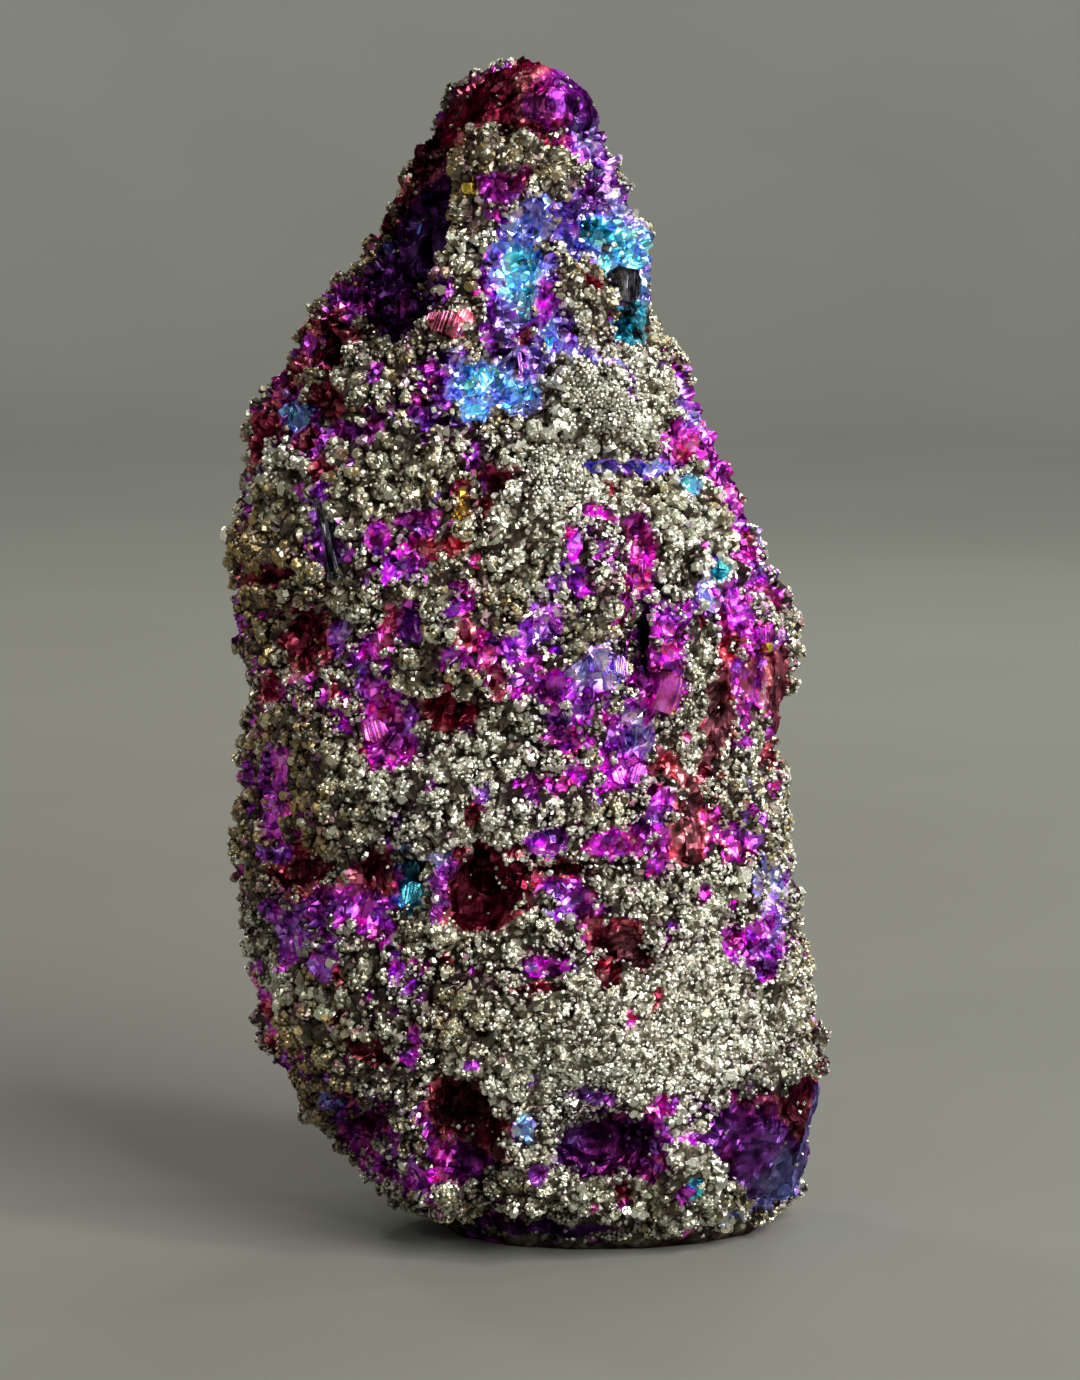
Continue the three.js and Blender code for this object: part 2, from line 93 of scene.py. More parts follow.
# Windows where the crust is open down to the tarnished ore. Each is its place across and up,
# half width and half height in millimetres, its lean in degrees with the top towards the
# axis's positive end, its depth in millimetres, and where its film lies on the tarnish scale
# from 0, gold, to 1, slate. Across and up are X and Z on the back, Y and Z on the left and right,
# and on the front what the camera sees.
FRONT = (
    # crown and horn
    (-1.1, 54.8, 0.5, 0.4, 0, 0.1, 0.46),
    (0.4, 54.6, 1.8, 0.8, 0, 0.1, 0.24),
    (-1.8, 53.2, 1.9, 1.6, -10, 0.4, 0.23),
    (-3.3, 52.4, 0.8, 1.3, 30, 0.2, 0.20),
    (0.7, 52.7, 0.9, 1.5, 0, 0.1, 0.425),
    (2.2, 53.2, 1.1, 1.1, 0, 0.1, 0.50),
    (3.2, 52.8, 0.6, 0.8, 0, 0.1, 0.50),
    (3.1, 51.9, 0.5, 0.7, 0, 0.2, 0.55),
    (3.2, 51.0, 0.7, 0.9, 20, 0.3, 0.58),
    (1.9, 50.8, 0.7, 0.4, 0, 0.3, 0.45),
    (4.0, 49.4, 1.1, 0.7, -40, 0.3, 0.56),
    (-1.2, 49.0, 1.0, 0.7, 0, 0.3, 0.46),
    (0.3, 47.5, 1.1, 1.2, 0, 0.3, 0.65),
    (-0.1, 44.8, 0.8, 1.8, 0, 0.3, 0.77),
    (2.2, 47.3, 0.7, 1.3, 0, 0.8, 0.60),
    (3.3, 47.0, 0.8, 0.8, 0, 0.5, 0.90),
    (5.0, 46.4, 0.9, 1.5, -10, 0.3, 0.72),
    (5.0, 42.5, 0.8, 1.1, 0, 0.6, 0.90),
    (2.9, 41.6, 1.1, 1.0, 35, 0.6, 0.60),
    (-0.2, 41.2, 0.6, 1.0, -10, 0.2, 0.58),
    (-2.0, 39.5, 1.2, 1.3, 0, 0.5, 0.72),
    (-0.3, 39.3, 0.8, 1.1, 0, 0.4, 0.705),
    (1.3, 42.0, 0.4, 0.7, 0, 0.5, 0.80),
    (0.9, 43.5, 0.3, 1.9, 0, 0.4, 0.50),
    (-3.7, 42.6, 0.8, 0.6, 15, 0.2, 0.36),
    (-4.6, 46.7, 1.5, 3.1, 20, 1.2, 0.52),
    (-5.3, 43.3, 0.9, 1.8, 20, 1.1, 0.50),
    (-6.9, 47.2, 0.3, 0.9, 30, 0.4, 0.22),
    (-4.4, 50.6, 0.7, 1.2, 30, 0.5, 0.20),
    (-5.9, 48.9, 0.4, 0.5, 30, 0.3, 0.30),
    # left shoulder
    (-8.4, 43.9, 1.2, 0.8, 25, 0.6, 0.47),
    (-10.3, 43.2, 0.6, 0.9, 30, 0.3, 0.23),
    (-9.1, 41.2, 1.2, 0.8, 20, 0.7, 0.22),
    (-10.9, 40.4, 0.5, 0.8, 20, 0.3, 0.24),
    (-8.0, 41.9, 0.4, 0.4, 0, 0.3, 0.28),
    (-10.1, 41.7, 0.4, 0.7, 0, 0.4, 0.45),
    (-11.1, 38.5, 0.8, 0.5, 0, 0.5, 0.72),
    (-12.2, 37.2, 0.7, 1.4, 10, 0.4, 0.23),
    (-9.3, 39.4, 0.9, 0.7, 20, 0.5, 0.25),
    (-8.2, 37.4, 1.2, 0.6, 0, 0.6, 0.48),
    # left of the middle
    (-1.6, 34.4, 0.5, 1.5, 14, 0.9, 0.28),
    (-1.8, 35.2, 0.2, 0.9, 14, 0.0, 0.50),
    (-3.0, 34.2, 0.4, 0.6, 0, 0.6, 0.07),
    (-6.7, 32.7, 0.6, 0.7, -20, 0.5, 0.48),
    (-5.0, 33.6, 1.0, 0.35, 0, 0.6, 0.46),
    (-3.8, 32.3, 1.1, 0.4, 0, 0.6, 0.28),
    (-9.1, 32.7, 0.5, 1.8, -17, 0.1, 0.50),
    (-9.4, 35.0, 0.35, 0.5, 0, 0.1, 0.50),
    (-11.9, 30.9, 1.7, 0.4, -10, 0.8, 0.24),
    (-10.4, 28.1, 0.9, 1.1, 0, 0.9, 0.24),
    (-8.8, 27.9, 0.8, 0.8, 0, 0.6, 0.53),
    (-6.5, 28.6, 0.4, 0.9, 0, 0.4, 0.40),
    (-5.1, 28.6, 0.7, 0.7, 0, 0.5, 0.52),
    (-2.9, 28.1, 0.5, 0.7, 0, 0.5, 0.38),
    (-1.4, 26.0, 0.4, 1.2, -15, 0.6, 0.36),
    (-6.5, 23.9, 1.4, 1.9, 0, 0.6, 0.44),
    (-5.3, 24.0, 0.4, 1.1, 10, 0.2, 0.50),
    (-3.4, 24.6, 1.2, 0.8, 0, 0.7, 0.24),
    (-12.3, 25.7, 0.9, 0.6, -20, 0.7, 0.24),
    # centre and right of the middle
    (6.3, 40.4, 0.3, 1.2, -8, 0.7, 0.52),
    (7.6, 39.0, 0.6, 0.9, -30, 0.4, 0.58),
    (7.6, 36.9, 0.7, 0.5, -20, 0.4, 0.40),
    (8.8, 36.0, 0.7, 1.3, -25, 0.4, 0.48),
    (7.7, 35.2, 0.4, 0.6, 0, 0.4, 0.74),
    (4.5, 36.0, 2.1, 0.3, 6, 0.8, 0.62),
    (3.4, 33.8, 0.9, 0.3, 20, 0.5, 0.47),
    (2.3, 32.3, 0.3, 0.7, 20, 0.5, 0.50),
    (5.3, 31.8, 0.6, 2.1, 0, 0.6, 0.43),
    (4.5, 29.7, 0.4, 1.3, 14, 0.1, 0.44),
    (5.5, 27.8, 0.3, 1.6, 0, 1.8, 0.50),
    (8.6, 30.0, 0.4, 0.9, 0, 0.5, 0.64),
    (9.5, 29.1, 0.7, 1.4, 0, 0.4, 0.47),
    (8.9, 31.1, 0.3, 0.4, 0, 0.4, 0.88),
    (10.0, 31.9, 0.4, 0.7, -20, 0.4, 0.44),
    (0.9, 28.6, 0.9, 1.0, 0, 0.5, 0.56),
    (1.1, 25.8, 1.1, 0.8, 0, 0.6, 0.46),
    (3.7, 26.7, 1.2, 1.0, 0, 0.5, 0.58),
    (6.0, 25.6, 1.0, 1.2, 0, 0.4, 0.46),
    (5.3, 23.4, 0.7, 1.6, 8, 0.4, 0.58),
    (4.8, 21.8, 1.1, 0.9, 0, 0.5, 0.46),
    (6.7, 22.2, 0.5, 0.8, 0, 0.4, 0.30),
    (1.6, 23.3, 0.7, 0.6, 0, 0.4, 0.45),
    (8.8, 24.6, 0.5, 2.6, 0, 0.3, 0.185),
    (10.4, 25.6, 0.3, 1.7, 0, 0.3, 0.44),
    (11.7, 25.4, 0.7, 2.0, -6, 0.3, 0.18),
    (11.6, 27.9, 0.9, 0.4, 0, 0.2, 0.56),
    (11.0, 28.1, 0.7, 0.5, 0, 0.4, 0.44),
    (7.6, 19.7, 0.55, 2.1, 5, 0.3, 0.185),
    # under the middle
    (4.5, 18.5, 1.6, 0.7, 0, 0.6, 0.47),
    (1.6, 17.4, 1.7, 0.3, 0, 0.6, 0.21),
    (0.9, 18.5, 0.9, 0.7, 0, 0.6, 0.50),
    (-2.3, 16.5, 1.5, 2.2, 6, 0.6, 0.23),
    (-1.6, 18.4, 0.7, 0.5, 20, 0.4, 0.26),
    (-3.7, 16.7, 0.6, 1.8, 10, 0.1, 0.50),
    (-5.1, 16.8, 0.5, 1.4, 0, 0.5, 0.89),
    (-5.2, 15.8, 0.4, 0.4, 0, 0.3, 0.82),
    (-7.0, 17.1, 0.7, 0.7, 0, 0.6, 0.23),
    (-10.2, 17.2, 1.4, 0.7, -8, 0.6, 0.22),
    (-12.0, 17.9, 1.0, 0.4, 0, 0.6, 0.55),
    # low on the left
    (-11.1, 14.4, 1.1, 1.6, 0, 0.6, 0.50),
    (-9.7, 12.9, 0.8, 0.9, 0, 0.5, 0.52),
    (-7.2, 8.9, 1.3, 0.6, 10, 0.7, 0.22),
    (-4.9, 9.5, 0.4, 0.4, 0, 0.5, 0.48),
    (-9.2, 6.4, 0.4, 0.7, -10, 0.5, 0.64),
    (-7.8, 4.8, 1.9, 0.7, -32, 0.6, 0.45),
    # low on the right
    (11.4, 16.3, 0.4, 1.4, -6, 0.5, 0.64),
    (9.7, 13.7, 0.6, 0.9, -12, 0.5, 0.46),
    (11.3, 14.1, 0.8, 1.0, 0, 0.6, 0.50),
    (4.6, 13.5, 1.4, 0.7, 35, 0.6, 0.18),
    (3.6, 12.3, 0.6, 0.6, 0, 0.6, 0.21),
    (0.4, 11.6, 1.2, 0.3, 0, 0.6, 0.20),
    (4.9, 10.3, 0.3, 0.4, 0, 0.4, 0.42),
    # pockets over the foot
    (-2.6, 6.5, 0.9, 1.9, -8, 0.7, 0.21),
    (-1.6, 5.0, 0.9, 1.1, 0, 0.7, 0.24),
    (-2.6, 3.6, 1.4, 1.0, 0, 0.8, 0.47),
    (-0.3, 5.2, 0.5, 0.7, 0, 0.0, 0.68),
    (4.0, 4.4, 2.5, 1.5, 0, 0.8, 0.46),
    (2.6, 4.8, 0.8, 1.0, 0, 0.8, 0.52),
    (5.6, 5.6, 0.5, 0.8, 0, 0.4, 0.43),
    (6.0, 4.6, 0.7, 1.1, 0, 0.4, 0.46),
    (6.4, 6.5, 0.5, 0.6, 0, 0.4, 0.45),
    (8.3, 4.8, 1.1, 0.3, 0, 0.5, 0.50),
    (7.9, 2.5, 0.4, 0.5, 0, 0.5, 0.90),
    (9.6, 1.1, 0.6, 0.3, 0, 0.4, 0.68),
    (11.2, 4.4, 0.8, 1.8, 12, 0.1, 0.53),
    (12.3, 3.3, 1.3, 1.8, 12, 0.1, 0.66),
    (12.4, 5.6, 0.9, 1.1, 12, 0.1, 0.205),
    (12.7, 6.9, 1.2, 0.9, 0, 0.1, 0.21),
    (-1.2, 0.9, 4.4, 0.6, 0, 0.2, 0.50),
    (-0.9, 1.3, 0.6, 0.2, 0, 0.2, 0.45),
)
BACK = (
    (0.5, 45.5, 1.3, 1.9, 10, 0.6, 0.50),
    (-1.0, 48.6, 0.9, 1.2, 10, 0.2, 0.40),
    (2.4, 50.6, 1.0, 1.2, 0, 0.4, 0.62),
    (-3.0, 51.6, 0.8, 1.0, 0, 0.4, 0.24),
    (3.4, 43.4, 0.7, 1.4, 0, 0.4, 0.76),
    (-4.2, 41.0, 1.3, 2.1, -20, 0.6, 0.46),
    (3.6, 38.0, 1.1, 1.7, 15, 0.5, 0.58),
    (-8.8, 34.5, 1.5, 1.2, 0, 0.6, 0.24),
    (-1.5, 33.0, 0.8, 2.8, 8, 0.6, 0.48),
    (0.6, 35.2, 1.0, 0.9, 0, 0.4, 0.72),
    (6.6, 30.5, 1.6, 1.1, 20, 0.6, 0.44),
    (2.6, 26.5, 1.3, 2.1, 0, 0.5, 0.60),
    (-6.2, 25.5, 2.2, 1.2, -12, 0.6, 0.46),
    (-9.9, 28.0, 0.7, 1.5, 0, 0.4, 0.22),
    (-3.4, 23.2, 0.8, 0.8, 0, 0.5, 0.34),
    (9.2, 22.0, 0.9, 2.2, 0, 0.5, 0.20),
    (-10.6, 19.5, 1.1, 1.7, 0, 0.5, 0.50),
    (0.2, 18.5, 2.6, 0.8, 10, 0.6, 0.47),
    (3.2, 20.6, 0.8, 1.1, 0, 0.4, 0.66),
    (5.4, 14.5, 1.4, 1.4, 0, 0.6, 0.24),
    (-5.0, 12.5, 1.1, 1.9, -15, 0.7, 0.44),
    (-2.6, 14.4, 0.6, 0.9, 0, 0.4, 0.80),
    (-9.6, 9.0, 1.3, 0.9, 25, 0.5, 0.52),
    (1.6, 7.5, 1.9, 1.0, 0, 0.6, 0.27),
    (8.6, 6.0, 1.7, 1.9, -20, 0.4, 0.60),
    (-2.8, 3.6, 1.9, 0.8, 10, 0.5, 0.48),
)
LEFT = (
    (0.5, 40.5, 1.1, 1.5, 0, 0.6, 0.46),
    (2.6, 42.6, 0.6, 1.1, 0, 0.4, 0.60),
    (-3.2, 36.0, 1.2, 0.9, 0, 0.5, 0.70),
    (3.8, 34.5, 1.0, 1.9, 0, 0.6, 0.50),
    (-0.5, 30.5, 1.6, 1.0, 20, 0.6, 0.24),
    (4.2, 26.5, 1.1, 1.3, 0, 0.5, 0.44),
    (1.4, 27.6, 0.6, 0.8, 0, 0.4, 0.36),
    (-2.6, 22.0, 1.3, 1.5, -10, 0.5, 0.50),
    (2.4, 18.0, 1.9, 0.9, 0, 0.6, 0.26),
    (5.0, 14.6, 0.8, 1.3, 0, 0.5, 0.62),
    (-1.8, 10.5, 1.5, 1.1, 0, 0.5, 0.47),
    (3.6, 9.0, 1.0, 1.5, 15, 0.5, 0.52),
    (0.4, 6.0, 1.6, 0.8, 0, 0.5, 0.24),
)
RIGHT = (
    (0.5, 44.0, 1.0, 1.7, 0, 0.5, 0.78),
    (-0.8, 47.6, 0.7, 1.0, 0, 0.4, 0.58),
    (2.2, 37.5, 1.1, 1.3, 0, 0.5, 0.46),
    (-1.5, 33.5, 0.8, 1.9, 0, 0.4, 0.44),
    (1.2, 31.6, 0.6, 1.2, 0, 0.4, 0.62),
    (3.4, 30.0, 1.1, 1.5, 0, 0.5, 0.24),
    (0.8, 25.5, 0.8, 2.6, 0, 0.5, 0.20),
    (-1.4, 24.6, 0.6, 1.6, 0, 0.4, 0.46),
    (3.2, 22.8, 0.7, 1.2, 0, 0.4, 0.54),
    (4.0, 19.0, 1.3, 1.3, 20, 0.6, 0.48),
    (-0.8, 15.5, 1.2, 1.1, 0, 0.5, 0.60),
    (2.6, 11.0, 1.6, 0.9, 0, 0.5, 0.45),
    (0.6, 4.6, 2.2, 1.8, 0, 0.3, 0.64),
    (-1.8, 6.2, 1.0, 0.8, 0, 0.3, 0.26),
    (4.4, 6.6, 1.0, 1.0, 0, 0.4, 0.48),
)
WINDOWS = {"front": FRONT, "back": BACK, "left": LEFT, "right": RIGHT}

# Where the crust runs thin, so that the tarnish shows through in rags, or thick, below zero:
# place across and up, half width, half height and lean as for a window, and how thin it is.
THINNED = {
    "front": (
        (-0.2, 53.8, 4.5, 2.6, 0, 1.3), (-3.4, 52.6, 1.3, 2.0, 20, 1.0),
        (-0.6, 50.3, 2.4, 1.0, -5, -0.15),
        (3.8, 49.8, 1.9, 2.6, -25, 0.65), (0.2, 43.6, 1.7, 6.0, 0, 0.6),
        (4.6, 45.2, 1.9, 4.6, 0, 0.4), (2.9, 44.4, 1.1, 1.6, 0, -0.55),
        (-5.0, 45.4, 2.4, 5.6, 20, 0.62), (-7.0, 41.6, 1.1, 2.2, 0, -0.4),
        (-6.8, 48.0, 1.6, 3.2, 25, 0.1), (-3.9, 51.6, 1.2, 1.8, 20, 0.3),
        (-10.0, 40.8, 2.4, 4.6, 22, 0.38), (-4.6, 39.0, 2.4, 1.9, 0, 0.28),
        (0.9, 34.9, 2.0, 3.2, 0, -0.4), (4.0, 38.7, 2.8, 2.7, 0, -0.75),
        (8.6, 37.4, 1.6, 4.2, -24, 0.75), (-4.9, 33.3, 4.2, 2.3, 0, 0.32),
        (-11.8, 22.4, 2.2, 4.6, 0, 0.2), (-9.6, 28.1, 5.0, 2.3, 4, 0.25),
        (-2.6, 28.0, 2.8, 3.2, 0, 0.12), (1.6, 29.4, 2.2, 2.0, 0, 0.15),
        (5.2, 27.6, 2.4, 8.0, 4, 0.42), (7.6, 30.6, 1.1, 4.8, 0, -0.42),
        (10.6, 26.8, 2.5, 4.9, 0, 0.45), (1.4, 24.6, 2.4, 3.2, 0, 0.15),
        (-5.4, 23.8, 3.6, 2.4, 0, 0.22), (-6.0, 26.4, 1.6, 0.9, 0, -0.4),
        (-7.6, 21.2, 5.4, 1.2, 0, -0.2),
        (-10.2, 15.8, 4.2, 3.6, 0, 0.40), (3.8, 18.2, 5.4, 1.6, 0, 0.40),
        (8.4, 19.8, 1.6, 2.8, 0, 0.25), (4.9, 13.4, 1.8, 2.6, 30, 0.32),
        (10.9, 15.0, 2.0, 2.7, 0, 0.38), (3.6, 9.2, 9.0, 2.6, 0, -0.45),
        (-6.6, 4.6, 4.6, 3.0, -30, 0.36), (-2.4, 5.4, 1.9, 3.0, 0, 0.4),
        (4.4, 4.6, 3.2, 2.0, 0, 0.4), (12.3, 4.4, 2.2, 3.0, 12, 1.2),
        (1.0, 2.0, 5.4, 0.5, 0, -0.6), (8.0, 1.6, 2.4, 1.6, 0, -0.4),
    ),
    "back": (
        (0.0, 52.6, 4.0, 2.4, 0, 0.5), (1.2, 45.6, 3.2, 4.0, 0, 0.4),
        (-5.2, 40.6, 3.6, 3.2, -20, 0.36), (4.6, 38.2, 2.6, 3.4, 15, 0.4),
        (-1.2, 33.4, 2.8, 4.0, 8, 0.4), (6.6, 29.4, 3.4, 2.8, 20, 0.36),
        (-7.0, 26.0, 4.4, 2.8, -12, 0.36), (2.6, 25.4, 2.8, 3.4, 0, 0.4),
        (-9.4, 17.6, 3.0, 3.6, 0, 0.36), (1.4, 18.2, 4.4, 2.4, 10, 0.4),
        (8.6, 21.4, 2.4, 4.0, 0, 0.4), (5.2, 12.0, 3.4, 3.4, 0, 0.32),
        (-5.6, 10.6, 4.4, 3.4, -15, 0.4), (7.4, 5.6, 3.8, 2.8, -20, 0.5),
        (-1.6, 4.4, 4.0, 1.8, 10, 0.36), (-1.0, 38.6, 2.4, 1.8, 0, -0.4),
        (-2.4, 29.2, 2.6, 1.6, 0, -0.4), (6.4, 17.0, 2.2, 1.8, 0, -0.4),
    ),
    "left": (
        (0.5, 40.6, 3.4, 3.0, 0, 0.42), (-1.0, 34.2, 2.6, 2.2, 0, 0.2),
        (3.6, 33.6, 2.4, 3.4, 0, 0.4), (-0.4, 29.4, 3.8, 2.2, 15, 0.4),
        (3.8, 25.8, 2.4, 2.6, 0, 0.36), (-2.0, 21.6, 2.6, 2.4, 0, 0.3),
        (2.6, 17.2, 3.8, 2.6, 0, 0.42), (0.6, 9.6, 4.4, 3.0, 0, 0.4),
    ),
    "right": (
        (0.4, 45.6, 3.0, 3.6, 0, 0.42), (1.6, 37.0, 3.2, 3.0, 0, 0.4),
        (0.6, 31.6, 3.6, 3.2, 0, 0.36), (0.8, 25.4, 3.8, 3.8, 0, 0.42),
        (3.6, 18.8, 2.8, 2.6, 20, 0.36), (-0.4, 15.2, 2.6, 2.2, 0, 0.32),
        (2.6, 10.6, 3.4, 2.0, 0, 0.3), (1.2, 4.6, 3.6, 2.8, 0, 0.6),
    ),
}

# Where a window's floor is one smooth striated face, free of small crystals: place across and
# up, half width, half height and lean as for a window.
SMOOTH = {
    "front": (
        (-1.8, 53.2, 1.5, 1.3, -10), (-4.6, 46.9, 1.3, 3.2, 20), (0.9, 43.3, 0.5, 2.0, 0),
        (-1.7, 34.2, 0.5, 1.4, 14), (-9.1, 32.7, 0.5, 2.0, -17), (5.5, 27.8, 0.6, 1.8, 0),
        (0.4, 54.4, 1.6, 0.7, 0), (-3.2, 52.2, 0.8, 1.4, 30), (2.4, 53.0, 1.3, 1.2, 0),
        (8.8, 24.6, 0.8, 2.7, 0), (11.7, 25.4, 1.0, 2.2, -6), (7.6, 19.7, 0.9, 2.2, 5),
        (11.6, 27.9, 1.0, 0.5, 0), (-2.2, 16.5, 1.2, 2.1, 0), (-10.0, 17.1, 1.4, 0.8, -8),
        (4.6, 13.5, 1.2, 0.6, 35), (-7.2, 8.9, 1.2, 0.6, 10), (-2.4, 6.3, 0.8, 1.8, 0),
        (-2.4, 3.9, 1.0, 1.0, 0), (3.2, 4.2, 1.3, 1.2, 0), (12.3, 4.6, 2.2, 3.0, 12),
        (-1.2, 0.9, 4.6, 0.7, 0),
    ),
    "back": (
        (0.5, 45.5, 0.9, 1.7, 10), (-8.8, 34.5, 1.2, 1.0, 0), (9.2, 22.0, 0.9, 2.0, 0),
        (5.4, 14.5, 1.1, 1.1, 0), (8.6, 6.0, 1.6, 1.8, -20),
    ),
    "left": ((-0.5, 30.5, 1.3, 0.9, 20), (2.4, 18.0, 1.6, 0.8, 0), (0.4, 6.0, 1.4, 0.7, 0)),
    "right": ((3.4, 30.0, 0.9, 1.3, 0), (0.8, 25.5, 0.8, 2.4, 0), (0.6, 4.6, 2.4, 2.0, 0)),
}

# Painted shade: where the ore and the grains are darkened as if in shadow. Place across and up,
# half width, half height and lean as for a window, and how dark.
PAINTED_SHADE_OVALS = {
    "front": (
        (-4.9, 46.6, 2.4, 4.6, 22, 1.0), (-6.2, 43.2, 1.3, 2.4, 20, 1.0),
        (-1.9, 53.3, 2.4, 1.9, -10, 0.85), (-4.6, 51.8, 1.5, 2.6, 30, 0.9),
        (0.8, 53.4, 1.5, 1.9, 0, 0.62),
        (2.9, 53.0, 1.3, 1.6, 0, 0.95), (-1.4, 50.9, 2.4, 1.0, 0, 0.5),
        (-8.4, 46.2, 2.2, 3.4, 35, 0.6), (-10.4, 41.6, 3.0, 3.6, 20, 0.5),
        (-12.2, 36.8, 2.0, 3.0, 0, 0.3), (-9.1, 33.6, 0.7, 2.6, -15, 0.5),
        (-12.0, 30.6, 2.6, 1.2, -10, 0.4), (-9.0, 27.8, 3.2, 1.6, 0, 0.35),
        (-1.7, 34.2, 0.7, 1.5, 14, 0.5), (5.6, 27.8, 0.45, 2.0, 0, 1.0),
        (-2.1, 16.5, 1.4, 2.2, 6, 0.6), (-5.1, 17.4, 0.9, 1.6, 0, 0.5),
        (-10.0, 16.8, 3.0, 1.9, -8, 0.5), (-11.0, 13.6, 2.4, 2.4, 0, 0.35),
        (-7.2, 8.9, 1.6, 0.9, 10, 0.4), (-8.4, 4.8, 3.6, 1.8, -32, 0.85),
        (-2.3, 5.0, 1.6, 3.2, -8, 0.85), (3.8, 4.4, 2.8, 1.9, 0, 0.95),
        (12.2, 4.8, 2.4, 3.4, 12, 0.9), (-1.2, 0.7, 6.0, 1.0, 0, 1.0),
        (4.6, 13.4, 1.8, 1.1, 35, 0.5), (1.6, 17.3, 2.4, 0.6, 0, 0.4),
    ),
    "back": (
        (0.0, 4.0, 6.0, 3.0, 0, 0.4), (-6.0, 26.0, 4.0, 3.0, 0, 0.35),
        (0.5, 46.0, 2.2, 3.2, 10, 0.6), (-4.4, 41.0, 1.8, 2.6, -20, 0.5),
        (0.2, 18.5, 3.4, 1.4, 10, 0.4), (9.2, 21.8, 1.4, 2.8, 0, 0.4),
    ),
    "left": (
        (0.0, 43.0, 4.5, 5.5, 0, 0.45), (-0.5, 30.0, 4.0, 3.0, 0, 0.4),
        (1.0, 17.0, 4.5, 3.5, 0, 0.4), (0.0, 5.5, 5.0, 3.0, 0, 0.6),
    ),
    "right": ((0.8, 4.8, 3.6, 3.4, 0, 0.75), (3.4, 30.0, 1.6, 2.0, 0, 0.4)),
}

